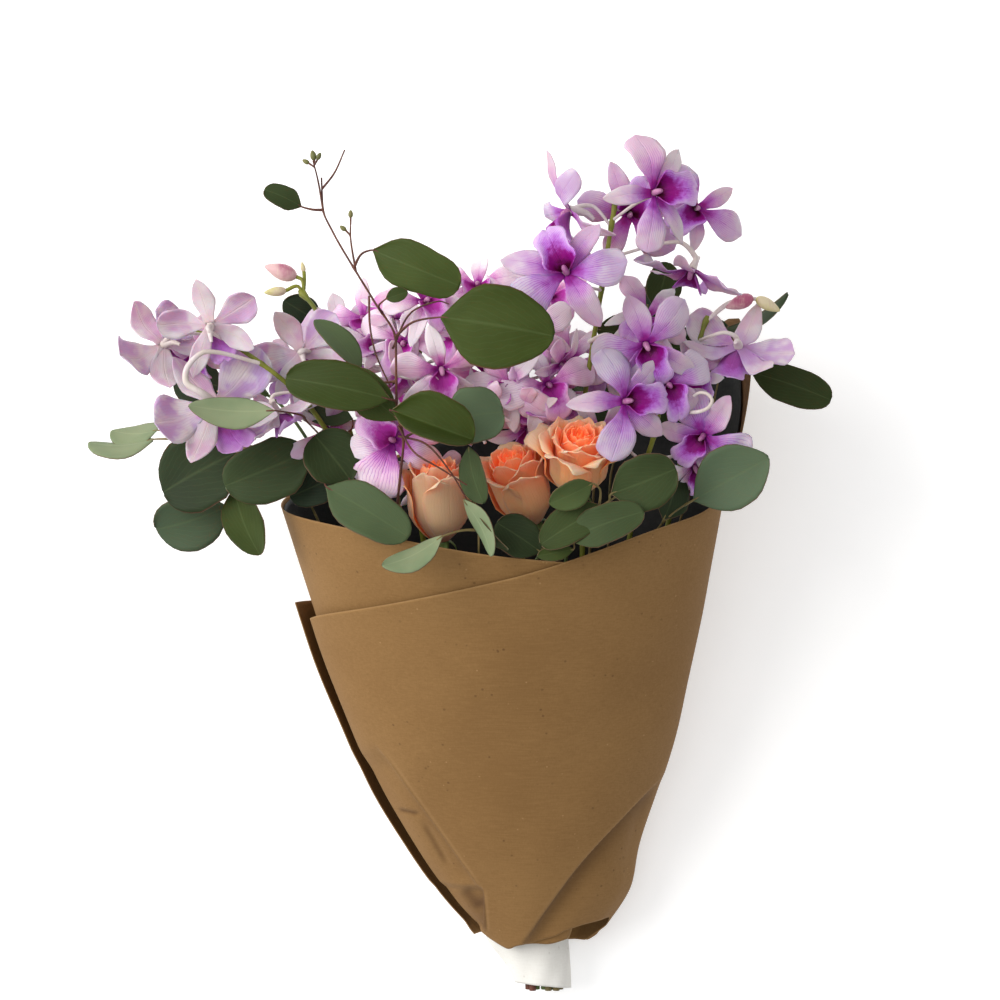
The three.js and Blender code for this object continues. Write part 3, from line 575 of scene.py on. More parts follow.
def rose_material():
    """Tone runs from 0 in a rose's heart to 1 on its outermost petals; shade is how pale it is outside."""
    material, shader, seen, _, tone, shade, under = veined(
        "rose petal", 0.6, 9.0, 0.1, Subsurface_Weight=0.6, Subsurface_Scale=0.009, Specular_IOR_Level=0.3,
        Sheen_Weight=0.15, Emission_Strength=ROSE_GLOW,
    )
    rim = seen("Along").over(0.82, 1.0)
    inner = mix(tone.over(0.1, 0.95), (255, 106, 42), (252, 150, 92))
    inner = mix(rim * (tone * 0.6 + 0.02), inner, (246, 196, 168))
    outer = layered(
        mix(tone.over(0.25, 1.0), (255, 118, 54), (238, 142, 90)),
        (seen("Along").over(0.55, 0.0), (198, 150, 108)),
        (shade * tone.over(0.25, 0.8), (172, 136, 108)),
    )
    colour = layered(
        mix(under, inner, outer),
        (rim * (tone * 0.45), (236, 196, 174)),
        (seen("Vein") * 0.1, (204, 116, 84)),
        (seen("Mottle").over(0.45, 0.75) * 0.12, (214, 160, 120)),
    )
    lit(shader, colour, seen("Mottle").over(0.3, 0.7, 0.48, 0.62), seen("Height"), depth=0.0005)
    # Painted glow, strongest in a rose's heart: emission that stands in for light shining through the petals
    glow = mix(tone.over(0.0, 0.85), (255, 116, 54), (88, 34, 16))
    glow.tree.links.new(glow.socket, shader.inputs["Emission Color"])
    return material


def skin_material(name, dark, pale, spot, rough, streak=(1.0, 0.12, 1.0)):
    """Stems, twigs and stalks: mottled from a dark to a pale colour, with streaks along them and small
    pores.
    """
    material, shader, place = new_material(name, rough, Specular_IOR_Level=0.35)
    lines = noise(stretched(place, streak), 900.0, 3.0, 0.6)
    cloud = noise(place, 60.0, 3.0)
    pores = add(place.tree, "ShaderNodeTexVoronoi", {"Vector": place, "Scale": 520.0}, "Distance")
    colour = layered(
        mix(cloud.over(0.35, 0.65), dark, pale),
        (lines.over(0.5, 0.75) * 0.35, spot),
        (pores.over(0.22, 0.1) * 0.3, spot),
    )
    rough = cloud.over(0.3, 0.7, rough - 0.06, rough + 0.08)
    lit(shader, colour, rough, lines + pores * 0.4, strength=0.35)
    return material


KRAFT_PAPER = paper_material(
    "kraft paper", (124, 91, 51), (138, 104, 61), (72, 46, 24), (170, 136, 92), 0.86, 1100.0, 0.0005)
BLACK_PAPER = paper_material(
    "black tissue liner", (12, 14, 13), (26, 27, 25), (6, 6, 6), (46, 46, 42), 0.62, 700.0, 0.0008)
WHITE_PAPER = paper_material(
    "white wrapping paper", (222, 219, 212), (230, 228, 222), (176, 168, 156), (238, 236, 230), 0.85, 900.0,
    0.0008)
PETAL = petal_material(
    "orchid petal", [(206, 200, 202), (202, 166, 190), (176, 158, 194)], [(196, 162, 186), (174, 142, 190)],
    [(206, 112, 176), (156, 70, 184)], 0.3)
# A pinker copy of the orchid petal for the sprays in the middle of the mass, also made brighter against the
# shade that falls there: painted light
ROSY_BRIGHTENED_PETAL = petal_material(
    "brightened rosy orchid petal", [(238, 224, 230), (232, 180, 210), (214, 172, 214)],
    [(236, 176, 208), (216, 160, 210)], [(222, 106, 178), (190, 78, 190)], 0.32)
LIP = lip_material("orchid lip", (172, 92, 198), (202, 168, 214), (128, 6, 114), (62, 0, 34))
ROSY_LIP = lip_material("rosy orchid lip", (206, 126, 206), (226, 186, 220), (176, 52, 160), (140, 28, 116))
LEAF = leaf_material()
ROSE = rose_material()
GREEN_STEM = skin_material("green flower stem", (96, 104, 26), (128, 132, 44), (112, 74, 66), 0.5)
PALE_STALK = skin_material("pale flower stalk", (206, 194, 184), (216, 204, 204), (190, 150, 174), 0.5)
RED_TWIG = skin_material("red-brown twig", (70, 34, 28), (98, 56, 42), (134, 96, 70), 0.6)
OLIVE_TWIG = skin_material("olive twig", (92, 84, 46), (124, 108, 66), (140, 92, 66), 0.6)
ROSE_GREEN = skin_material("rose stem and sepals", (70, 92, 44), (96, 116, 60), (120, 84, 60), 0.55)
BUD_SKIN = skin_material("flower bud", (188, 186, 92), (206, 192, 160), (186, 124, 146), 0.5)
PINK_BUD = skin_material("pink flower bud", (168, 84, 116), (212, 174, 174), (216, 204, 176), 0.5)
GUM_BUD = skin_material("eucalyptus bud", (86, 92, 48), (112, 112, 66), (140, 100, 76), 0.55)
COLUMN = skin_material("orchid column", (150, 70, 132), (190, 132, 168), (222, 196, 212), 0.4)
TWINE = skin_material("jute twine", (128, 96, 56), (168, 134, 86), (196, 168, 120), 0.9, (0.3, 1.0, 1.0))


# Geometry nodes: round stems along lines, and buds on points
def named(tree, name, **settings):
    return add(tree, "GeometryNodeInputNamedAttribute", {"Name": name}, "Attribute", **settings)


def finished(tree, name, geometry, material):
    real = add(tree, "GeometryNodeRealizeInstances", {"Geometry": geometry})
    smooth = add(tree, "GeometryNodeSetShadeSmooth", {"Geometry": real})
    done = add(tree, "GeometryNodeSetMaterial", {"Geometry": smooth, "Material": material})
    return give_out(tree, {name: done})


def tube_tree():
    inputs = {"Lines": "Geometry", "Sides": "Int", "Unevenness": "Float", "Material": "Material"}
    tree, given = new_group("tubes along lines", "GeometryNodeTree", inputs, {"Tubes": "Geometry"})
    curve = add(tree, "GeometryNodeMeshToCurve", {"Mesh": given["Lines"]})
    factor = add(tree, "GeometryNodeSplineParameter", out="Factor")
    share = {"Geometry": curve, "Name": "along", "Value": factor}
    marked = add(tree, "GeometryNodeStoreNamedAttribute", share)
    radius = named(tree, "radius_here")
    circle = {"Resolution": given["Sides"], "Radius": 1.0}
    ring = add(tree, "GeometryNodeCurvePrimitiveCircle", circle, "Curve")
    swept = {"Curve": marked, "Profile Curve": ring, "Scale": radius, "Fill Caps": True}
    tube = add(tree, "GeometryNodeCurveToMesh", swept)
    bumps = add(tree, "ShaderNodeTexNoise", {"Scale": 300.0, "Detail": 2.0}, "Fac")
    normal = add(tree, "GeometryNodeInputNormal", out="Normal")
    outwards = {0: normal, "Scale": (bumps - 0.5) * given["Unevenness"]}
    push = add(tree, "ShaderNodeVectorMath", outwards, operation="SCALE")
    moved = add(tree, "GeometryNodeSetPosition", {"Geometry": tube, "Offset": push})
    return finished(tree, "Tubes", moved, given["Material"])


def bud_tree():
    inputs = {"Points": "Geometry", "Width": "Float", "Point": "Float", "Material": "Material"}
    tree, given = new_group("buds on points", "GeometryNodeTree", inputs, {"Buds": "Geometry"})
    ball = add(tree, "GeometryNodeMeshUVSphere", {"Segments": 10, "Rings": 9, "Radius": 0.5}, "Mesh")
    parts = add(tree, "ShaderNodeSeparateXYZ", {0: add(tree, "GeometryNodeInputPosition")})
    height = parts("Z") + 0.5
    width = (height**2.0 * given["Point"] * -1.0 + 1.0) * (given["Width"] * 2.0)
    slimmed = {"X": parts("X") * width, "Y": parts("Y") * width, "Z": height}
    shaped = add(tree, "ShaderNodeCombineXYZ", slimmed)
    bud = add(tree, "GeometryNodeSetPosition", {"Geometry": ball, "Position": shaped})
    way = named(tree, "way", data_type="FLOAT_VECTOR")
    turn = add(tree, "FunctionNodeAlignRotationToVector", {"Vector": way}, "Rotation", axis="Z")
    size = named(tree, "size")
    put = {"Points": given["Points"], "Instance": bud, "Rotation": turn, "Scale": size}
    return finished(tree, "Buds", add(tree, "GeometryNodeInstanceOnPoints", put), given["Material"])


TUBES = tube_tree()
BUDS = bud_tree()


def grown(name, mesh, tree, settings, node):
    """What a node tree makes from a mesh, as a plain piece; settings are by the tree's input names."""
    seed = bpy.data.objects.new(name + "_seed", mesh)
    bpy.context.scene.collection.objects.link(seed)
    modifier = seed.modifiers.new("growth", "NODES")
    modifier.node_group = tree
    for item in tree.interface.items_tree:
        if item.name in settings:
            modifier[item.identifier] = settings[item.name]
    graph = bpy.context.evaluated_depsgraph_get()
    made = bpy.data.meshes.new_from_object(seed.evaluated_get(graph), depsgraph=graph)
    made.name = name
    bpy.data.objects.remove(seed)
    place_piece(name, made, node)


def grow_tubes(name, lines, material, node, sides, uneven):
    """Round stems along lines; a line is its points and its radii, in millimetres."""
    points, radii, edges = [], [], []
    for line, thickness in lines:
        start = len(points)
        points.extend((line * MM).tolist())
        radii.extend((np.broadcast_to(thickness, len(line)) * MM).tolist())
        edges.extend((start + i, start + i + 1) for i in range(len(line) - 1))
    mesh = bpy.data.meshes.new(name + "_lines")
    mesh.from_pydata(points, edges, [])
    mesh.attributes.new("radius_here", "FLOAT", "POINT").data.foreach_set("value", radii)
    grown(name, mesh, TUBES, {"Sides": sides, "Unevenness": uneven * MM, "Material": material}, node)


def grow_buds(name, places, material, node, width, point):
    """Closed buds; a place is where its base is, its direction and its length."""
    bases, ways, sizes = (np.array(column) for column in zip(*places))
    mesh = bpy.data.meshes.new(name + "_points")
    mesh.from_pydata((bases * MM).tolist(), [], [])
    mesh.attributes.new("way", "FLOAT_VECTOR", "POINT").data.foreach_set("vector", ways.ravel())
    mesh.attributes.new("size", "FLOAT", "POINT").data.foreach_set("value", sizes * MM)
    grown(name, mesh, BUDS, {"Width": width, "Point": point, "Material": material}, node)


# The paper
def along_and_beside(start, end, x, y):
    """A place's share of the way from start to end, and how far it lies to the right of that line."""
    dx, dy = vec(end) - start
    length = math.hypot(dx, dy)
    x, y = x - start[0], y - start[1]
    return (x * dx + y * dy) / length**2, (x * dy - y * dx) / length


def wrinkle_ends(share):
    return smooth_step(-0.2, 0.2, share) * (1 - smooth_step(0.8, 1.2, share))


def fold_press(x, y):
    """How far the folds of the front press the paper down at a place."""
    press = np.zeros_like(x)
    for start, end, bow, deep, quick, _, _ in FOLDS:
        share, beside = along_and_beside(start, end, x, y)
        past = np.maximum(beside + 4 * bow * share * (1 - share), 0)
        ends = smooth_step(-0.12, 0.06, share) * (1 - smooth_step(0.8, 1.08, share))
        press += deep * ends * (1 - np.exp(-past / quick)) * (0.55 + 0.45 * hump(past / 14))
    for start, end, deep, wide, _ in WRINKLES:
        share, beside = along_and_beside(start, end, x, y)
        press += deep * wrinkle_ends(share) * hump(beside / wide)
    return press


def fold_shade_and_crests(x, y):
    """Below a half: painted shade where a crease or dent lies in its own shade; above a half: lighter along
    a crease's edge.
    """
    mark = np.full_like(x, 0.5)
    for start, end, bow, _, _, wide, dark in FOLDS:
        share, beside = along_and_beside(start, end, x, y)
        past = beside + 4 * bow * share * (1 - share)
        ends = smooth_step(-0.1, 0.1, share) * (1 - smooth_step(0.86, 1.0, share))
        width = wide * (0.35 + 0.65 * smooth_step(0.0, 0.6, share))
        mark -= 0.5 * dark * ends * smooth_step(0.0, 0.8, past) * np.exp(-past.clip(0) / width)
        mark += 0.16 * ends * hump((past + 0.7) / 0.9)
    for start, end, _, wide, dark in WRINKLES:
        share, beside = along_and_beside(start, end, x, y)
        mark -= 0.5 * dark * wrinkle_ends(share) * hump(beside / wide)
    return np.clip(mark, 0, 1)


def ripple(turn, at):
    """Slow waves of hand-rolled paper, the same in every layer."""
    a = np.radians(turn)
    return (
        0.55 * np.sin(3 * a + at * 0.021) * np.cos(at * 0.034 + 1.2)
        + 0.35 * np.sin(5 * a - at * 0.047 + 0.7)
        + 0.22 * np.sin(9 * a + at * 0.083 + 2.1)
    )


def wrap_points(turn, at, off, floor):
    left, right = smooth_on(WRAP_SIDES, at, 1), smooth_on(WRAP_SIDES, at, 2)
    half_height = NECK_HALF_HEIGHT + (at - NECK) * FLARE
    a = np.radians(turn)
    plain_x = (left + right) / 2 + ((right - left) / 2 + SPIRAL_STEP) * np.cos(a)
    off = off + ripple(turn, at) - smooth_step(-0.15, 0.35, np.sin(a)) * fold_press(plain_x, at)
    x = (left + right) / 2 + ((right - left) / 2 + off) * np.cos(a)
    z = FLAT_SHARE * half_height + (half_height + off) * np.sin(a)
    return np.stack([x, at, np.maximum(floor, z)], axis=2)


def sheet(name, node, material, thickness, turns, rows, floor, layer=0, lift=((0, 0),), short=None,
          raised=0, limit=math.inf, painted_shade_and_crests=False):
    """A sheet of the wrap over its turns in degrees, some layers further out and not below the floor."""
    shares = smooth_on([[0, 0], [0.6, 0.52], [1, 1]], np.linspace(0, 1, rows))
    turn, share = np.meshgrid(turns, shares)
    bottom = smooth_on(OUTER_BOTTOM, turn) + raised
    top = np.minimum(smooth_on(OUTER_TOP, turn) - (smooth_on(short, turn) if short else 0), limit)
    at = bottom + (top - bottom) * share
    off = SPIRAL_STEP * (turn - SPIRAL_START) / 360 + layer * LAYER_STEP + np.interp(turn, *zip(*lift))
    grid = wrap_points(turn, at, off, floor)
    shape = Shape()
    add_blade(shape, grid, thickness)
    ends = np.minimum(turn - turns[0], turns[-1] - turn) * SHEET_PER_DEGREE
    edge = np.minimum(np.minimum(share, 1 - share) * SHEET_LENGTH, ends)
    worn = np.clip(1 - edge / WORN_WIDTH, 0, 1).ravel()
    shape.values["tone"] = [*worn, *worn]
    # The folds on the front of the outer sheet carry painted shade beside their creases, and a lighter line
    # along their edges
    if painted_shade_and_crests:
        x, y = grid[..., 0], grid[..., 1]
        middle = (smooth_on(WRAP_SIDES, at, 1) + smooth_on(WRAP_SIDES, at, 2)) / 2
        front = smooth_step(-0.05, 0.25, np.sin(np.radians(turn)))
        front = front * smooth_step(425, 445, turn + (x > middle) * 80)
        front_shade_and_crests = (0.5 + (fold_shade_and_crests(x, y) - 0.5) * front).ravel()
        # Painted shade on one face of the sheet near its top edge, at the right of the wrap's mouth, where
        # the flowers shade it
        mouth = smooth_step(318, 340, turn) * (1 - smooth_step(372, 395, turn))
        mouth_shade = 0.5 * smooth_step(0.55, 0.8, share) * mouth
        shape.values["shade"] = [*(front_shade_and_crests - mouth_shade.ravel()), *front_shade_and_crests]
    make_piece(name, shape, [material], node)


hidden_turns = np.linspace(SPIRAL_START, FRONT_START, 60)
front_turns = np.linspace(FRONT_START, OUTER_END, 241)[1:]
sheet("kraft_outer_wrap", "kraft_outer_sheet", KRAFT_PAPER, KRAFT,
      np.concatenate([hidden_turns, front_turns]), rows=160, floor=1.6, lift=FLAP_LIFT, painted_shade_and_crests=True)
sheet("kraft_back_wrap", "kraft_back_sheet", KRAFT_PAPER, KRAFT,
      np.linspace(BACK_START, BACK_END, 110), rows=96, floor=0.4, layer=1, lift=FIN_LIFT, limit=BACK_TOP)
sheet("black_tissue_wrap", "black_liner", BLACK_PAPER, LINER,
      np.linspace(SPIRAL_START, LINER_END, 160), rows=96, floor=2.8, layer=-1, short=LINER_SHORT,
      raised=LINER_RAISED)


# Stems
def cell_centre(column, row):
    height = BUNDLE_FLOOR + (row - LOWEST_ROW) * STEM_PITCH * math.sin(math.radians(60))
    return BUNDLE_CENTRE + column * STEM_PITCH, height


BUNDLE_HEIGHT = (cell_centre(0, TOP_ROW)[1] + BUNDLE_FLOOR) / 2


def from_bundle(cell, stem):
    x, z = cell_centre(*cell)
    return [vec(p) for p in ((x, BUNDLE_END, z), (x, BUNDLE_TOP, z), *stem)]


def stem_line(points, tip, taper, joints=()):
    """A stem's smooth line and its radius, a little swollen at its joints."""
    line, share, given = smooth_path(points, CANE_STEP)
    thin = np.clip((share - given[1]) / (1 - given[1]), 0, 1)
    radii = STEM_ACROSS / 2 + (tip - STEM_ACROSS / 2) * thin**taper
    for joint in joints:
        radii = radii * (1 + 0.3 * hump(np.linalg.norm(line - joint, axis=1) / 2.4))
    return line, radii


def nearest_on(line, place, behind):
    """The point of a stem above the wrap's mouth that is nearest to a place, moved back along the stem."""
    usable = line[line[:, 1] > WRAP_MOUTH]
    i = int(np.argmin(np.linalg.norm(usable - place, axis=1)))
    while i > 0 and behind > 0:
        behind -= np.linalg.norm(usable[i] - usable[i - 1])
        i -= 1
    return usable[i]


def bud_stalk(at, way, size, carriers, behind, short, up):
    """A bud's base and direction, where its stalk leaves the nearest of its carriers, and the stalk."""
    way = unit(vec(way))
    base = vec(at) - way * size * 0.5
    roots = [nearest_on(carrier, base, behind) for carrier in carriers]
    root = min(roots, key=lambda place: np.linalg.norm(place - base))
    bend = (root + base) / 2 - way * short + vec([0, up, 0])
    return base, way, root, *curled_path([root, bend, base + way * 0.5], STALK_STEP)


def spread(centre, *parts):
    """A grid of points round a centre; a part is how far each one lies in a direction, and the direction."""
    return centre + sum(far[..., None] * way for far, way in parts)


# Orchid blooms
LIMB_ROWS = vec([0, 0.06, 0.13, 0.21, 0.3, 0.39, 0.49, 0.59, 0.68, 0.76, 0.83, 0.89, 0.935, 0.97, 0.99, 1])
PETAL_OUTLINE = [
    [0, 0.15], [0.1, 0.2], [0.25, 0.44], [0.45, 0.8], [0.64, 1], [0.8, 0.97], [0.91, 0.76], [0.975, 0.42],
    [1, 0.1],
]
SEPAL_OUTLINE = [
    [0, 0.44], [0.12, 0.52], [0.3, 0.8], [0.5, 1], [0.68, 0.95], [0.84, 0.7], [0.94, 0.42], [1, 0.1],
]
# A limb's length, half width, outline, rise in its middle and at its tip, curl of its sides, and paleness
PETAL_FORM = (1.0, 0.365, PETAL_OUTLINE, 0.14, 0.0, 0.1, 0.0)
SEPAL_FORM = (0.95, 0.21, SEPAL_OUTLINE, 0.05, -0.14, -0.12, 0.4)
LIMBS = [(50, SEPAL_FORM), (106, PETAL_FORM), (180, SEPAL_FORM), (254, PETAL_FORM), (310, SEPAL_FORM)]
LIP_ROWS = vec([0, 0.06, 0.12, 0.18, 0.24, 0.3, 0.37, 0.44, 0.51, 0.58, 0.66, 0.75, 0.84, 0.91, 0.96, 1])
LIP_WIDTH = [
    [0, 0.1], [0.1, 0.2], [0.22, 0.27], [0.36, 0.28], [0.5, 0.245], [0.62, 0.25], [0.78, 0.285], [0.9, 0.25],
    [0.97, 0.17], [1, 0.1],
]
LIP_REACH = [[0, 0.02], [0.25, 0.12], [0.5, 0.3], [0.75, 0.54], [1, 0.76]]
LIP_FRONT = [[0, -0.02], [0.25, 0.04], [0.5, 0.12], [0.75, 0.17], [1, 0.06]]
LIP_SIDES_UP = [[0, 0.16], [0.2, 0.33], [0.36, 0.29], [0.55, 0.13], [0.75, 0.03], [1, -0.08]]
# Ahead of the bloom's middle and below it, and for the column its radius, as shares of the bloom's size
COLUMN_LINE = [
    (-0.05, 0, 0.06), (0.05, 0, 0.052), (0.11, 0.02, 0.05), (0.15, 0.06, 0.042), (0.155, 0.09, 0.02),
]
SPUR_LINE = [(0, 0), (-0.12, 0.05), (-0.24, 0.14), (-0.3, 0.25)]


def add_limb(shape, centre, front, down, size, turn, form, flush, shade, folded, slim):
    length, half, outline, rise, tip, cup, pale = form
    v, u = LIMB_ROWS[:, None], np.linspace(-1, 1, 11)
    a = math.radians(turn + vary(-9, 9))
    way = down * math.cos(a) + np.cross(front, down) * math.sin(a)
    length = size * length * vary(0.88, 1.06)
    half = size * half * vary(0.84, 1.12) * slim * smooth_on(outline, v)
    half = half * (1 + 0.03 * np.sin(10 * v + vary(0, 6.28)))
    rise = rise + vary(-0.04, 0.08) + 0.3 * folded
    tip = tip + vary(-0.24, 0.14) + 0.75 * folded
    lift = smooth_on([[0, 0], [0.45, rise], [1, tip]], v) * length
    reach = size * 0.05 + length * v * math.sqrt(max(0.2, 1 - (0.8 * tip) ** 2)) - length * 0.02 * u**2 * v
    bend = vary(-0.13, 0.13) * length * v**2
    twist = math.radians(vary(-30, 30)) * v**1.3
    phase = vary(0, 6.28)
    waves = 0.15 * np.sin(7 * v + phase + 1.4 * u) * np.sign(u) + 0.07 * np.sin(16 * v - 2 * phase + 2 * u)
    ruffle = half * np.abs(u) ** 1.6 * waves * (1 + 1.6 * max(folded, 0))
    curl = -(cup + vary(-0.1, 0.24)) * half * u**2 * (0.4 + v)
    keel = half * 0.07 * hump(u / 0.16) * (1 - v)
    wide = half * u * (1 + vary(-0.1, 0.1) * u)
    lateral = wide * np.cos(twist) + bend
    forward = lift + wide * np.sin(twist) + ruffle + curl - keel
    grid = spread(centre, (reach, way), (lateral, np.cross(front, way)), (forward, front))
    tone = np.clip(flush + vary(-0.14, 0.14), 0, 1)
    shade = np.clip(shade + vary(-0.15, 0.15) - pale, 0, 1)
    add_blade(shape, grid[:, ::-1], BLADE, LIMB_ROWS, tone=tone, shade=shade)


def add_lip(shape, centre, front, down, size, flush):
    """The trumpet: its sides stand up round the column and its front spreads into a ruffled skirt."""
    v, u = LIP_ROWS[:, None], np.linspace(-1, 1, 13)
    half = smooth_on(LIP_WIDTH, v) * vary(0.92, 1.08)
    notch = 0.04 * hump(u / 0.3) * smooth_step(0.8, 1, v)
    ruffle = 0.03 * np.sin(9 * v * np.sign(u) + 7 * u + vary(0, 6)) * u**2 * smooth_step(0.2, 0.8, v)
    keel = 0.03 * (hump((u - 0.12) / 0.07) + hump((u + 0.12) / 0.07))
    keel = keel * smooth_step(0.05, 0.25, v) * (1 - smooth_step(0.6, 0.8, v))
    ahead = smooth_on(LIP_FRONT, v) + smooth_on(LIP_SIDES_UP, v) * u**2 + ruffle + keel
    parts = (smooth_on(LIP_REACH, v) - notch, down), (half * u, np.cross(front, down)), (ahead, front)
    grid = spread(centre, *((size * far, way) for far, way in parts))
    add_blade(shape, grid[:, ::-1], BLADE, LIP_ROWS, slot=1, tone=flush)


def add_bloom(shape, stalks, line, at, face, lip, size, flush, shade, folded, slim=1, via=None, thick=1):
    """A bloom with five petals round a lip, its column and spur, and the stalk that carries it."""
    centre, front = vec(at), unit(vec(face))
    down = square_to(lip, front)

    def away(ahead, below):
        return centre + (front * ahead + down * below) * size

    for turn, form in LIMBS:
        add_limb(shape, centre, front, down, size, turn, form, flush, shade, folded, slim)
    add_lip(shape, centre, front, down, size, flush)
    column = [away(ahead, below) for ahead, below, _ in COLUMN_LINE]
    radii = [radius * size for _, _, radius in COLUMN_LINE]
    add_tube(shape, column, radii, sides=9, slot=2, tone=0.9, shade=shade)
    spur, share = curled_path([away(*place) for place in SPUR_LINE], STALK_STEP)
    stalks.append((spur, size * (0.085 - 0.055 * share)))
    back = away(-0.22, 0)
    base = nearest_on(line, back, behind=6)
    gap = np.linalg.norm(back - base)
    bend = back - front * 0.35 * gap - down * 0.1 * gap
    via = via or [back, (base + back) / 4 + bend / 2]
    stalk, share = curled_path([away(-0.02, 0), *via, base], spacing=1.6)
    swelling = 1.35 * thick * np.exp(-share * 3.2 / thick) + 0.25 * smooth_step(0.9, 1, share)
    stalks.append((stalk, 0.9 + swelling))
    return base


def make_spray(name, cell, flush, tips, stem, blooms, inner=(), curls=(), buds=(), green_tip=False):
    # Sprays in the middle get slimmer blooms and the pinker petal copy that is brightened as painted light
    # against their shade
    rosy = "centre" in name
    points = from_bundle(cell, stem)
    line = smooth_path(points, LINE_STEP)[0]
    petals = Shape()
    stalks, green_stalks, joints, places, pink_places = [], [], [], [], []
    for at, face, lip, size, *own in blooms:
        looks = {"slim": vary(0.8, 1.0)} if rosy else {}
        looks["flush"] = np.clip(flush + vary(-0.15, 0.15), 0, 1)
        looks["shade"] = np.clip(tips + vary(-0.3, 0.3), 0, 1)
        looks["folded"] = vary(-0.05, 0.12)
        looks.update(*own)
        joints.append(add_bloom(petals, stalks, line, at, face, lip, size, **looks))
    for bloom in inner:
        looks = {"flush": vary(0.5, 1), "shade": vary(0.25, 0.6)}
        looks.update(slim=vary(0.5, 0.85), folded=vary(-0.1, 0.28))
        joints.append(add_bloom(petals, stalks, line, *bloom, **looks))
    for curl in curls:
        path, share = curled_path(curl, spacing=1.2)
        stalks.append((path, 1.5 - 0.5 * share))
    for at, way, size, *pink in buds:
        base, way, root, path, share = bud_stalk(at, way, size, [line], behind=3, short=1.5, up=4)
        joints.append(root)
        (pink_places if pink else places).append((base, way, size * 1.45))
        (green_stalks if green_tip else stalks).append((path, 1.1 + 0.2 * share))
    cane = stem_line(points, tip=1.4, taper=0.7, joints=joints)
    looks = [ROSY_BRIGHTENED_PETAL, ROSY_LIP, COLUMN] if rosy else [PETAL, LIP, COLUMN]
    make_piece(name + "_blooms", petals, looks, name)
    grow_tubes(name + "_stalks", stalks, PALE_STALK, name, sides=7, uneven=0.15)
    grow_tubes(name + "_cane", [cane], GREEN_STEM, name, sides=10, uneven=0.25)
    if green_stalks:
        grow_tubes(name + "_bud_stalks", green_stalks, GREEN_STEM, name, sides=7, uneven=0.2)
    if places:
        grow_buds(name + "_buds", places, BUD_SKIN, name, width=0.25, point=0.55)
    if pink_places:
        grow_buds(name + "_pink_buds", pink_places, PINK_BUD, name, width=0.28, point=0.6)


# Eucalyptus
LEAF_ROWS = vec([0, 0.03, 0.08, 0.15, 0.24, 0.34, 0.45, 0.56, 0.67, 0.77, 0.86, 0.93, 0.975, 1])
LEAF_OUTLINE = [
    [0, 0.05], [0.04, 0.16], [0.12, 0.44], [0.24, 0.77], [0.38, 0.96], [0.5, 1], [0.64, 0.95], [0.78, 0.78],
    [0.9, 0.5], [0.97, 0.25], [1, 0.06],
]
BLUNT_OUTLINE = [
    [0, 0.05], [0.04, 0.2], [0.12, 0.54], [0.24, 0.86], [0.36, 1], [0.5, 1], [0.66, 0.96], [0.8, 0.88],
    [0.91, 0.7], [0.975, 0.44], [1, 0.16],
]


def add_leaf(shape, stalks, line, base, tip, width, roll, tone, pale, blunt, crease=0):
    base, tip = vec(base), vec(tip)
    length = np.linalg.norm(tip - base)
    heading = unit(tip - base)
    up = turned(square_to([0, 0, 1], heading), heading, roll)
    v, u = LEAF_ROWS[:, None], np.linspace(-1, 1, 13)
    outline = smooth_on(LEAF_OUTLINE, v) * (1 - blunt) + smooth_on(BLUNT_OUTLINE, v) * blunt
    uneven = 0.025 * np.sin(8 * v + vary(0, 6.28)) + 0.015 * np.sin(19 * v + vary(0, 6.28))
    half = width / 2 * (outline * (1 + uneven))
    lean = 1 + 0.09 * vary(-1, 1) * np.sign(u) * np.sin(math.pi * v)
    bent = math.radians(crease) * (u > 0)
    arch = length * 0.075 * np.sin(math.pi * v)
    trough = width * 0.09 * np.abs(u) ** 1.6 * outline + half * u * np.sin(bent)
    wave = width * 0.035 * np.sin(6 * v + vary(0, 6.28) + 2 * u) * u**2
    sideways = half * np.cos(bent) * u * lean, np.cross(heading, up)
    grid = spread(base, (length * v, heading), sideways, (arch + trough + wave, up))
    tone = np.clip(tone + vary(-0.08, 0.08), 0, 1)
    add_blade(shape, grid, BLADE, LEAF_ROWS, tone=tone, shade=pale)
    root = nearest_on(line, base, behind=3)
    bend = root * 0.35 + (base - heading * np.linalg.norm(base - root) * 0.3) * 0.65
    held = base + heading * length * 0.1 + up * length * 0.018
    path, share = curled_path([root, bend, base, held], spacing=1.6)
    stalks.append((path, 0.95 - 0.5 * share))
    return root


def make_branch(name, cell, tone, stem, leaves, twigs=(), crossing=(), buds=(), red=False):
    points = from_bundle(cell, stem)
    line = smooth_path(points, LINE_STEP)[0]
    blades = Shape()
    stalks, joints, places = [], [], []
    for base, tip, width, roll, *own in leaves:
        plain = (np.clip(tone + vary(-0.2, 0.2), 0, 1), 0, vary(0.2, 0.9))
        joints.append(add_leaf(blades, stalks, line, base, tip, width, roll, *(own[0] if own else plain)))
    carriers = [line, *(curled_path(twig, STALK_STEP)[0] for twig in twigs)]
    for at, way, size in buds:
        base, way, _, path, share = bud_stalk(at, way, size, carriers, behind=2.5, short=1, up=0)
        places.append((base, way, size * 0.8))
        stalks.append((path, 0.55 + 0.1 * share))
    for twig in (*twigs, *crossing):
        path, share = curled_path(twig, STALK_STEP)
        stalks.append((path, 0.75 - 0.3 * share))
    bark = RED_TWIG if red else OLIVE_TWIG
    make_piece(name + "_blades", blades, [LEAF], name)
    grow_tubes(name + "_stalks", stalks, bark, name, sides=7, uneven=0.12)
    twig = stem_line(points, tip=0.55, taper=0.4, joints=joints)
    grow_tubes(name + "_twig", [twig], bark, name, sides=10, uneven=0.3)
    if places:
        grow_buds(name + "_buds", places, GUM_BUD, name, width=0.34, point=0.35)


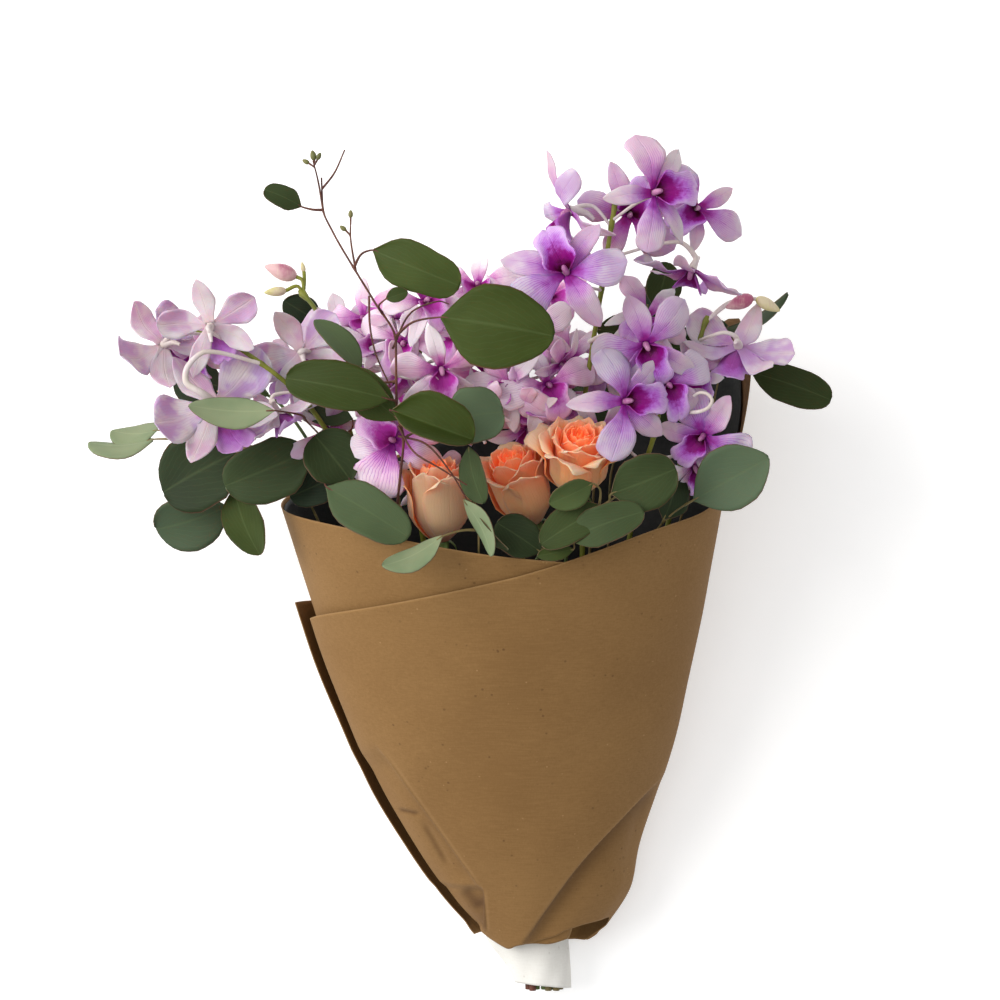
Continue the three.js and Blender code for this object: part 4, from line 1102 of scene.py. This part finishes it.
# Roses
ROSE_ROWS = vec([0, 0.12, 0.25, 0.38, 0.5, 0.62, 0.73, 0.82, 0.89, 0.945, 0.98, 1])
INNER_PROFILE = [[0, 0.5], [0.3, 0.9], [0.6, 1], [0.85, 0.9], [1, 0.78]]
OUTER_PROFILE = [[0, 0.28], [0.15, 0.62], [0.4, 0.97], [0.65, 1], [0.85, 0.98], [1, 1]]
PETAL_SPREAD = [[0, 0.6], [0.3, 0.9], [0.6, 1], [0.8, 0.9], [0.93, 0.66], [1, 0.42]]
GOLDEN_TURN = 137.5
SEPAL_ROWS = vec([0, 0.1, 0.25, 0.42, 0.6, 0.78, 0.9, 1])
SEPAL_WIDTH = [[0, 1], [0.3, 0.9], [0.7, 0.45], [1, 0.05]]
HIP_LINE = [(1.6, 0.72), (1, 1.02), (0.4, 1.05), (-0.2, 0.95)]  # below the seat and radius, by the hip's


def make_rose(name, cell, stem, head, axis, size, opened, petals, top, wide, pale, closed=False):
    """Petals, their top and width as shares of the head's size, and how pale the outside is."""
    centre, way = vec(head), unit(vec(axis))
    start = square_to([0.3, 0.2, 1], way)
    other = np.cross(way, start)
    shape = Shape()
    v, u = ROSE_ROWS[:, None], np.linspace(-1, 1, 13)
    for i in range(petals):
        share = i / (petals - 1)
        turn = math.radians(GOLDEN_TURN * i + vary(-8, 8))
        radius = 0.05 + wide * share**0.85
        half = math.radians(96 - 44 * share) * vary(0.94, 1.06)
        rim = 1 - (0.07 + 0.12 * opened) * share**3 - 0.1 * (1 - share) ** 2 + vary(-0.03, 0.03)
        profile = smooth_on(INNER_PROFILE, v) * (1 - share) + smooth_on(OUTER_PROFILE, v) * share
        flare = (0.05 + 0.3 * opened) * share**1.5 * smooth_step(0.62, 1, v) ** 1.6
        roll = smooth_step(0.86, 1, v) ** 2
        angle = turn + half * smooth_on(PETAL_SPREAD, v) * u
        phase = vary(0, 6)
        wave = 0.03 * np.sin(4 * u + 7 * v + phase) * v**2 * (0.4 + share)
        wave = wave + 0.035 * (1.2 - share) * np.sin(9 * u + 2 * phase) * smooth_step(0.55, 1, v)
        r = radius * (profile + flare + 0.13 * roll * share**2 * (0.8 + opened)) * (1 + 0.07 * u + wave)
        droop = (0.1 + 0.1 * share) * np.abs(u) ** 2.5 * smooth_step(0.5, 1, v)
        rough = 0.025 * np.sin(7 * u + phase) * smooth_step(0.8, 1, v)
        peak = 0.05 * share * hump(u / 0.16) * smooth_step(0.9, 1, v)
        h = (top + ROSE_BASE) * rim * v - ROSE_BASE - droop + peak + rough - 0.07 * roll * share * opened
        parts = (r * np.cos(angle), start), (r * np.sin(angle), other), (h, way)
        grid = spread(centre, *((size * far, direction) for far, direction in parts))
        add_blade(shape, grid[:, ::-1], BLADE, ROSE_ROWS, tone=share, shade=pale)
    make_piece(name + "_petals", shape, [ROSE], name)

    seat = centre - way * (size * ROSE_BASE + 0.3)
    hip = size * HIP
    foot = seat - way * hip * 2.2
    green = Shape()
    hips = [foot, *(seat - way * hip * below for below, _ in HIP_LINE)]
    add_tube(green, hips, [1.6, *(radius * hip for _, radius in HIP_LINE)], sides=14)
    v, u = SEPAL_ROWS[:, None], np.linspace(-1, 1, 5)
    if closed:
        long, away, rise = 3.4, 0.7 + 0.5 * np.sin(v * 2.2), v
    else:
        long, away, rise = 2.9, 0.75 + 1.15 * np.sin(v * 1.7), -0.55 * v**1.4
    half = smooth_on(SEPAL_WIDTH, v) * hip * 0.52
    for k in range(5):
        out = turned(start, way, 72 * k + vary(-8, 8))
        up = hip * long * vary(0.85, 1.1) * rise + 0.8 * np.abs(u)
        grid = spread(seat - way * hip * 0.2, (hip * away, out), (half * u, np.cross(way, out)), (up, way))
        add_blade(green, grid[:, ::-1], BLADE, SEPAL_ROWS)
    make_piece(name + "_sepals", green, [ROSE_GREEN], name + "_stem")
    cane = stem_line(from_bundle(cell, [*stem, foot - way * 6, foot]), STEM_TIP_RADIUS, taper=0.5)
    grow_tubes(name + "_cane", [cane], ROSE_GREEN, name + "_stem", sides=10, uneven=0.25)


# What each plant is, by the names of its maker's inputs. A stem has a cell in the tied bundle, column and
# row, and the points it passes from the wrap's mouth upwards, as across, along and height
ROSES = [
    dict(
        name="rose_left", cell=(-1, 2), stem=[(-37, 96, 152)], head=(-38, 140, 163),
        axis=(-0.05, 0.96, 0.27), size=23, opened=0.35, petals=22, top=1.5, wide=0.8, pale=0.8,
    ),
    dict(
        name="rose_middle", cell=(0, 2), stem=[(15, 92, 146)], head=(15, 149, 158),
        axis=(-0.32, 0.84, 0.44), size=23, opened=0.55, petals=27, top=1.5, wide=0.78, pale=0.35,
    ),
    dict(
        name="rose_right", cell=(1, 2), stem=[(40, 96, 152)], head=(48, 170, 176), axis=(0.08, 0.84, 0.53),
        size=27, opened=1, petals=34, top=0.95, wide=0.68, pale=0.05,
    ),
    dict(
        name="rose_bud", cell=(-1, 0), stem=[(-78, 100, 108), (-127, 192, 128)], head=(-163, 223, 122),
        axis=(-0.8, 0.5, 0.1), size=13, opened=1, petals=9, top=1.1, wide=0.86, pale=0.0, closed=True,
    ),
]

# Blooms: middle, facing, way its lip hangs, size, and what is its own. Inner ones fill the mass behind them.
# Buds: middle, way it points, length, and whether it is pink
SPRAYS = [
    dict(
        name="orchid_right_tall", cell=(0.5, 1), flush=0.95, tips=0.85,
        stem=[
            (52, 100, 128), (53, 166, 136), (53, 202, 144), (58, 244, 156), (64, 284, 168), (69, 317, 170),
            (73, 339, 164),
        ],
        blooms=[
            ((94, 334, 196), (0.3, 0.1, 0.95), (1, 0.12, -0.2), 37, {"slim": 0.8}),
            ((123, 329, 160), (0.25, 0, 0.95), (-0.83, -0.56, 0), 31, {"slim": 0.9}),
            ((40, 284, 214), (-0.15, 0.1, 0.98), (-0.44, 0.9, 0), 39),
            ((43, 326, 172), (-0.75, -0.3, 0.2), (-0.1, -0.9, 0.1), 42, {"slim": 0.5}),
            ((81, 325, 158), (-0.1, -0.35, 0.9), (0.45, 0.85, 0), 34),
            ((119, 290, 168), (-0.3, -0.9, 0.12), (0.2, -0.2, -0.95), 36, {"slim": 0.85, "folded": 0.2}),
        ],
    ),
    dict(
        name="orchid_right_low", cell=(1.5, 1), flush=0.9, tips=0.85,
        stem=[
            (78, 100, 136), (88, 160, 148), (97, 191, 158), (101, 222, 160), (102, 253, 160),
            (108, 269, 155),
        ],
        blooms=[
            ((76, 207, 200), (0.3, 0, 0.95), (1, 0.1, 0), 36),
            ((89, 242, 192), (0.1, -0.25, 0.95), (0.35, -0.95, 0), 36),
            ((103, 218, 184), (0.25, 0, 0.95), (0.3, -0.95, 0), 31),
            ((126, 187, 170), (-0.25, -0.3, 0.9), (-0.7, -0.7, 0), 32, {"flush": 1.0, "slim": 1.1}),
        ],
        inner=[
            ((92, 262, 150), (0.1, 0.3, 0.95), (-0.6, -0.7, 0), 29),
            ((68, 236, 126), (-0.2, 0.1, 0.95), (-0.4, -0.9, 0), 30),
            ((62, 190, 150), (0.2, -0.4, 0.9), (0.5, -0.9, 0), 28),
            ((120, 226, 148), (0.3, -0.1, 0.95), (0.4, -0.9, 0), 28),
            ((122, 168, 150), (0.2, -0.5, 0.8), (0.3, -0.9, 0), 28),
        ],
        curls=[
            [
                (112, 203, 160), (114.5, 201.5, 176), (121, 201, 186), (127, 203.2, 188),
                (129.8, 207.6, 188), (127.4, 211.6, 188), (122.5, 212.8, 187), (118.4, 210.8, 186),
            ],
        ],
    ),
    dict(
        name="orchid_far_right", cell=(2, 0), flush=0.85, tips=0.55,
        stem=[
            (100, 100, 112), (115, 173, 126), (118, 207, 136), (123, 235, 142), (128, 255, 144),
            (131, 263, 144),
        ],
        blooms=[
            ((149, 243, 156), (0, -0.6, -0.6), (-0.3, -0.8, 0.3), 37,
             {"slim": 0.9, "via": ((146, 249, 164), (139, 251, 167), (131, 249, 163))}),
        ],
        buds=[((153, 272, 150), (-0.9, -0.35, 0), 13, True), ((166, 271, 148), (0.85, -0.45, 0), 12)],
    ),
    dict(
        name="orchid_left", cell=(-1.5, 1), flush=0.3, tips=0.85,
        stem=[
            (-92, 100, 126), (-98, 166, 140), (-113, 197, 152), (-130, 217, 162), (-150, 233, 168),
            (-169, 245, 166), (-190, 252, 160),
        ],
        blooms=[
            ((-210, 244, 158), (-0.45, -0.5, -0.74), (0.77, -0.63, 0), 34, {"slim": 1.12}),
            ((-178, 254, 182), (0.1, 0.3, -0.9), (0.3, -0.88, -0.2), 32),
            ((-176, 206, 174), (-0.2, -0.35, -0.9), (0.5, -0.8, 0), 44,
             {"slim": 1.05, "thick": 1.6,
              "via": ((-182, 212, 186), (-192, 219, 188), (-191, 229, 188), (-180, 238, 184))}),
            ((-190, 241, 140), (-0.3, -0.5, 0.8), (-0.1, -0.9, 0), 26),
            ((-139, 202, 164), (0.4, -0.75, -0.35), (0.5, -0.6, 0.3), 34),
        ],
        inner=[
            ((-128, 226, 140), (-0.2, 0.1, 0.95), (-0.6, -0.7, 0), 28),
            ((-110, 192, 138), (0.1, -0.3, 0.9), (0.7, -0.7, 0), 29),
        ],
    ),
    dict(
        name="orchid_upper_left", cell=(-1.5, -1), flush=0.3, tips=0.7, green_tip=True,
        stem=[
            (-72, 100, 90), (-95, 186, 112), (-105, 224, 122), (-111, 252, 126), (-118, 269, 126),
            (-128, 281, 122),
        ],
        blooms=[
            ((-124, 240, 152), (0.1, 0.1, -0.95), (0.45, -0.9, 0), 33),
            ((-100, 254, 128), (-0.2, 0.3, 0.9), (0.2, -0.95, 0), 30),
        ],
        inner=[((-96, 232, 140), (0.2, -0.2, 0.9), (0.5, -0.8, 0), 29)],
        buds=[
            ((-137, 292, 122), (-0.9, 0.3, 0.1), 15, True), ((-141, 280, 126), (-0.9, -0.1, 0.2), 10),
            ((-126, 295, 118), (-0.2, 0.95, 0), 5),
        ],
    ),
    dict(
        name="orchid_centre_left", cell=(0, 0), flush=0.65, tips=0.45,
        stem=[(-45, 100, 108), (-54, 166, 124), (-53, 210, 136), (-50, 248, 142), (-45, 273, 140)],
        blooms=[
            ((-66, 184, 172), (0, -0.1, 0.97), (-0.8, 0.6, 0), 34, {"slim": 1.25, "flush": 1.0}),
            ((-36, 228, 176), (0.1, -0.35, 0.9), (0.1, -1, 0), 33),
            ((-60, 245, 156), (-0.1, 0.2, 0.95), (-0.3, -0.9, 0), 31),
            ((-46, 271, 160), (0.1, 0.4, 0.85), (0.4, -0.8, 0), 31),
        ],
        inner=[
            ((-62, 228, 162), (0.7, -0.5, 0.5), (-0.3, -0.9, 0), 26),
            ((-28, 248, 160), (-0.6, 0.4, 0.6), (0.3, -0.9, 0), 26),
            ((-44, 210, 160), (-0.5, -0.7, 0.5), (0.6, -0.5, 0), 25),
            ((-80, 240, 150), (0.5, 0.6, 0.5), (-0.7, -0.5, 0), 25),
            ((-66, 262, 142), (0.2, 0.8, 0.5), (0.7, -0.5, 0), 26),
            ((-76, 174, 156), (-0.6, -0.3, 0.6), (0.4, -0.8, 0), 25),
            ((-20, 250, 142), (0.2, 0.2, 0.9), (-0.3, -0.9, 0), 30),
            ((-86, 262, 140), (-0.3, 0.2, 0.9), (0.3, -0.9, 0), 29),
            ((-70, 216, 138), (-0.2, -0.3, 0.9), (0.8, -0.5, 0), 30),
            ((-24, 204, 146), (0.3, -0.5, 0.8), (-0.4, -0.9, 0), 29),
            ((-50, 160, 140), (0.1, -0.6, 0.8), (0.3, -0.9, 0), 28),
        ],
        curls=[
            [(-58, 236, 160), (-66, 232, 172), (-62, 224, 178), (-52, 222, 178)],
            [(13, 212, 140), (-2, 200, 160), (-14, 192, 172), (-9, 182, 176)],
        ],
    ),
    dict(
        name="orchid_centre_right", cell=(1, 0), flush=0.75, tips=0.45,
        stem=[
            (15, 100, 104), (13, 166, 116), (14, 211, 126), (11, 249, 130), (3, 274, 128), (-5, 286, 124),
        ],
        blooms=[
            ((30, 219, 160), (0.2, 0.1, 0.95), (0.3, -0.9, 0), 31),
            ((6, 219, 164), (-0.3, -0.2, 0.9), (-0.7, -0.7, 0), 31),
            ((-14, 283, 134), (-0.1, 0.5, 0.8), (0, -0.9, 0.4), 31),
            ((34, 246, 108), (0.2, 0.4, 0.85), (0.6, -0.7, 0), 25),
            ((19, 252, 158), (0, -0.2, 0.95), (0.2, -0.9, 0), 31),
        ],
        inner=[
            ((8, 236, 158), (0.7, 0.4, 0.5), (-0.5, -0.8, 0), 26),
            ((16, 206, 158), (-0.4, -0.7, 0.5), (0.7, -0.5, 0), 25),
            ((38, 232, 152), (0.7, -0.4, 0.5), (-0.3, -0.9, 0), 25),
            ((-12, 206, 156), (-0.7, -0.2, 0.5), (0.3, -0.9, 0), 25),
            ((12, 270, 138), (0.5, 0.7, 0.4), (-0.4, -0.8, 0), 26),
            ((38, 214, 126), (0.3, -0.2, 0.9), (0.6, -0.8, 0), 30),
            ((44, 236, 130), (-0.3, 0.3, 0.9), (-0.8, -0.4, 0), 28),
            ((18, 192, 142), (0.1, -0.6, 0.8), (-0.2, -0.9, 0), 29),
            ((32, 276, 132), (0.2, 0.5, 0.8), (0.3, -0.9, 0), 28),
            ((-8, 226, 138), (-0.4, 0.1, 0.9), (0.5, 0.8, 0), 28),
        ],
        curls=[[(56, 246, 158), (66, 249, 176), (77, 243, 184), (81, 236, 184)]],
        buds=[((8, 295, 122), (0.1, 0.95, 0.1), 9)],
    ),
]

# Leaves: base, tip, width, roll, and of some how yellow, how much bloom, how blunt, bend along the midrib
BRANCHES = [
    dict(
        name="eucalyptus_left_low", cell=(-2, 0), tone=0.15,
        stem=[
            (-103, 100, 104), (-121, 142, 110), (-136, 167, 122), (-158, 181, 128), (-182, 187, 122),
            (-209, 186, 114),
        ],
        leaves=[
            ((-164, 179, 128), (-216, 152, 116), 50, 10, (0.28, 0, 0.7)),
            ((-175, 143, 108), (-223, 128, 98), 38, -20, (0.2, 0.28, 0.6)),
            ((-119, 179, 137), (-174, 156, 138), 40, -8, (0.5, 0.1, 0.6)),
            ((-169, 155, 129), (-153, 112, 126), 32, 35, (0.75, 0, 0.4)),
            ((-223, 186, 112), (-266, 184, 104), 34, 248, (0.5, 0, 0.2)),
            ((-221, 192, 108), (-253, 192, 92), 30, 235, (0.5, 0, 0.2)),
            ((-176, 219, 118), (-210, 226, 108), 30, 5),
        ],
    ),
    dict(
        name="eucalyptus_left_front", cell=(-2, 2), tone=0.5, red=True,
        stem=[(-84, 100, 134), (-95, 129, 140), (-97, 159, 148), (-110, 184, 154), (-123, 199, 168)],
        leaves=[
            ((-92, 158, 168), (-115, 187, 164), 36, 12, (0.4, 0, 0.8)),
            ((-107, 155, 176), (-56, 124, 188), 31, -10, (0.6, 0.25, 0.7)),
            ((-136, 201, 208), (-188, 204, 210), 21, 205, (0.5, 0, 0.1)),
            ((-101, 163, 130), (-134, 149, 124), 26, 0, (0.1, 0, 0.7)),
            ((-93, 198, 144), (-123, 204, 140), 17, 10, (0.5, 0.25, 0.5)),
        ],
    ),
    dict(
        name="eucalyptus_tall", cell=(-1.5, 3), tone=0.75, red=True,
        stem=[
            (-64, 100, 156), (-64, 135, 168), (-61, 165, 182), (-59, 184, 190), (-63, 203, 196),
            (-63, 243, 206), (-76, 267, 210), (-87, 285, 210), (-101, 309, 209), (-107, 323, 208),
            (-108, 342, 206),
        ],
        leaves=[
            ((-76, 297, 218), (-24, 275, 224), 29, 8, (1, 0.05, 1)),
            ((-35, 256, 228), (32, 244, 236), 50, -6, (0.85, 0, 0.35)),
            ((-120, 324, 210), (-142, 334, 212), 15, 20, (0.5, 0, 0.8)),
            ((-68, 267, 227), (-55, 271, 229), 9, 0),
            ((-67, 208, 206), (-130, 221, 200), 30, 10, (0.7, 0, 0.8)),
            ((-62, 196, 194), (-92, 226, 184), 26, -20, (0.8, 0, 0.5)),
            ((-85, 225, 186), (-114, 258, 178), 22, 50, (0.8, 0.3, 0.4)),
            ((-65, 201, 208), (-16, 183, 210), 40, 0, (0.9, 0, 0.6, 62)),
            ((-34, 195, 194), (2, 201, 188), 36, -15, (0.4, 0.5, 0.8)),
        ],
        twigs=[
            [(-107, 323, 208), (-110, 340, 208), (-113, 352, 208)],
            [(-107.6, 335, 207), (-100, 345, 207), (-94, 359, 205)],
            [(-87, 285, 210), (-90, 304, 212), (-90, 316, 212)],
        ],
        crossing=[
            [(-62, 192, 193), (-52, 176, 203), (-36, 166, 206), (-20, 156, 204)],
            [(-62, 186, 191), (-45, 181, 201), (-30, 164, 204), (-20, 147, 202)],
            [(-81, 273, 172), (-80, 254, 180), (-76, 236, 184), (-67, 216, 184)],
            [(-66, 240, 182), (-55, 261, 190), (-38, 268, 196), (-31, 266, 200)],
        ],
        buds=[
            ((-113, 356, 208), (-0.2, 1, 0), 8), ((-109, 355, 210), (0.5, 1, 0.3), 6),
            ((-118, 352, 206), (-0.9, 0.5, 0), 6), ((-90, 320, 212), (0, 1, 0), 6),
            ((-95, 311, 213), (-0.8, 0.6, 0.2), 6),
        ],
    ),
    dict(
        name="eucalyptus_front_left", cell=(0.5, 3), tone=0.4,
        stem=[(-9, 100, 166), (-13, 112, 178), (-13, 130, 190), (-16, 147, 196)],
        leaves=[
            ((-19, 179, 196), (-10, 145, 202), 22, 40, (0.5, 0.1, 0.3)),
            ((-22, 147, 200), (-5, 113, 204), 18, 232, (0.4, 0, 0.2)),
            ((-16, 140, 196), (5, 117, 200), 15, 65),
            ((-35, 125, 202), (-71, 107, 208), 24, 232, (0.2, 0, 0.1)),
        ],
    ),
    dict(
        name="eucalyptus_front_right", cell=(1.5, 3), tone=0.45,
        stem=[(30, 100, 168), (28, 119, 182), (40, 132, 190), (56, 140, 194), (74, 151, 194)],
        leaves=[
            ((25, 115, 182), (-2, 133, 180), 26, 10, (0.4, 0, 0.7)),
            ((56, 157, 204), (30, 145, 206), 18, -15, (1, 0.15, 0.3)),
            ((68, 151, 196), (107, 166, 198), 34, 5, (0.5, 0.05, 0.8)),
            ((41, 123, 200), (87, 140, 206), 25, -20, (0.5, 0.1, 0.7)),
            ((63, 143, 200), (25, 120, 196), 24, 15, (0.6, 0, 0.7)),
            ((45, 117, 196), (23, 113, 196), 10, 0, (0.7, 0, 0.4)),
        ],
    ),
    dict(
        name="eucalyptus_right", cell=(2, 2), tone=0.5,
        stem=[(96, 100, 136), (97, 124, 149), (107, 138, 160), (118, 146, 166)],
        leaves=[
            ((120, 147, 170), (165, 173, 184), 40, -5, (0.2, 0.45, 0.0)),
            ((102, 135, 160), (111, 163, 150), 26, 30, (0.3, 0, 0.5)),
        ],
    ),
    dict(
        name="eucalyptus_right_upper", cell=(1.5, -1), tone=0.35,
        stem=[
            (108, 100, 84), (125, 160, 92), (135, 192, 98), (140, 218, 102), (144, 236, 104),
            (149, 247, 106),
        ],
        leaves=[
            ((162, 229, 112), (212, 211, 118), 25, -10, (0.6, 0, 1)),
            ((134, 252, 114), (185, 280, 112), 28, 72, (0.3, 0.25, 0.1)),
            ((132, 236, 100), (145, 263, 98), 20, 30, (0.3, 0, 0.3)),
        ],
    ),
    dict(
        name="eucalyptus_top_back", cell=(0.5, -1), tone=0.4,
        stem=[(58, 100, 72), (64, 180, 84), (79, 219, 92), (90, 251, 96), (96, 274, 98)],
        leaves=[
            ((62, 257, 108), (96, 252, 104), 24, 0), ((100, 271, 104), (109, 301, 98), 24, 10),
            ((91, 238, 92), (127, 252, 86), 30, 15), ((73, 206, 88), (110, 206, 84), 34, -10),
        ],
    ),
    dict(
        name="eucalyptus_back_left", cell=(-1, -2), tone=0.2,
        stem=[(-60, 100, 40), (-70, 160, 44), (-84, 200, 50), (-104, 234, 58), (-121, 256, 70)],
        leaves=[
            ((-119, 264, 80), (-141, 277, 90), 22, 0), ((-104, 222, 52), (-142, 232, 64), 34, 0),
            ((-78, 208, 42), (-44, 232, 30), 34, 0),
        ],
    ),
    dict(
        name="eucalyptus_back_right", cell=(1, -2), tone=0.2,
        stem=[(72, 100, 40), (74, 160, 42), (88, 200, 46), (104, 230, 54), (112, 256, 60)],
        leaves=[
            ((110, 252, 58), (92, 288, 50), 32, 0), ((110, 228, 56), (144, 240, 70), 34, 0),
            ((88, 206, 42), (50, 224, 26), 34, 0),
        ],
    ),
]

for rose in ROSES:
    make_rose(**rose)
for spray in SPRAYS:
    make_spray(**spray)
for branch in BRANCHES:
    make_branch(**branch)


# The sleeve of white paper and the twine round the stems
def make_sleeve():
    turn, share = np.meshgrid(np.linspace(*SLEEVE_TURNS, 150), np.linspace(0, 1, 40))
    a = np.radians(turn)
    at = SLEEVE_END + share * (SLEEVE_LENGTH + 5 * np.sin(a)) - 3.0 * np.cos(a + 0.8) * (1 - share)
    left, right = smooth_on(SLEEVE_SIDES, at, 1), smooth_on(SLEEVE_SIDES, at, 2)
    waves = 0.35 * np.sin(7 * a + at * 0.2) + 0.3 * np.sin(4 * a - at * 0.13)
    off = 1.2 * (turn - SLEEVE_TURNS[0]) / 360 + waves
    half_height = BUNDLE_RADIUS + 0.9 + 4.0 * smooth_step(-176, -130, at)
    x = (left + right) / 2 + ((right - left) / 2 + off) * np.cos(a)
    z = BUNDLE_HEIGHT + (half_height + off) * np.sin(a)
    shape = Shape()
    add_blade(shape, np.stack([x, at, np.maximum(SLEEVE_FLOOR, z)], axis=2), SLEEVE, tone=0)
    make_piece("white_paper_sleeve", shape, [WHITE_PAPER], "white_stem_sleeve")


def make_twine():
    """Two strands that are laid round one another."""
    turns = np.linspace(0, FULL_TURN * TWINE_TURNS, 400)
    lines = []
    for strand in (0, math.pi):
        lay = turns * STRAND_TURNS + strand
        r = BUNDLE_RADIUS + 0.7 + TWINE_LAY * np.cos(lay)
        y = TIE_AT + TWINE_WIDTH * (turns / turns[-1] - 0.5) + TWINE_LAY * np.sin(lay)
        points = [BUNDLE_CENTRE + r * np.cos(turns), y, BUNDLE_HEIGHT + r * np.sin(turns)]
        lines.append((np.stack(points, axis=1), STRAND_RADIUS))
    grow_tubes("twine_round_stems", lines, TWINE, "stem_tie", sides=6, uneven=0.1)


make_sleeve()
make_twine()


# Floor, light and camera
def in_scene(name, data, place=(0, 0, 0)):
    made = bpy.data.objects.new(name, data)
    made.location = place
    bpy.context.scene.collection.objects.link(made)
    return made


def make_floor():
    mesh = bpy.data.meshes.new("floor")
    corners = [(-FLOOR, -FLOOR, 0), (FLOOR, -FLOOR, 0), (FLOOR, FLOOR, 0), (-FLOOR, FLOOR, 0)]
    mesh.from_pydata(corners, [], [(0, 1, 2, 3)])
    white = {"Emission_Color": (1, 1, 1, 1), "Emission_Strength": 0.3}
    material, shader, place = new_material("pale floor", 0.9, Specular_IOR_Level=0.1, **white)
    lit(shader, mix(noise(place, 30.0, 2.0), (246, 246, 246), (251, 251, 251)))
    mesh.materials.append(material)
    in_scene("floor", mesh)


def make_lamp(name, place, size, power, tint=(1, 1, 1)):
    """A round soft lamp that shines at the bouquet's middle."""
    light = bpy.data.lights.new(name, "AREA")
    light.shape = "DISK"
    light.size = size
    light.energy = power
    light.color = tint
    x, y, z = vec(AIM) - place
    in_scene(name, light, place).rotation_euler = (math.atan2(math.hypot(x, y), -z), 0, math.atan2(-x, y))


make_floor()
make_lamp("key", (-2.1, 0.9, 1.8), size=2.6, power=84, tint=(1.0, 0.99, 0.97))
make_lamp("top", (0.0, 0.6, 2.6), size=2.2, power=12)

world = bpy.data.worlds.new("studio")
world.use_nodes = True
backdrop = world.node_tree.nodes["Background"]
backdrop.inputs["Color"].default_value = (1, 1, 1, 1)
backdrop.inputs["Strength"].default_value = WORLD_LIGHT
bpy.context.scene.world = world
bpy.context.scene.view_settings.view_transform = "Standard"

camera_data = bpy.data.cameras.new("camera")
camera_data.lens = LENS
camera_data.sensor_width = SENSOR
bpy.context.scene.camera = in_scene("camera", camera_data, CAMERA_AT)
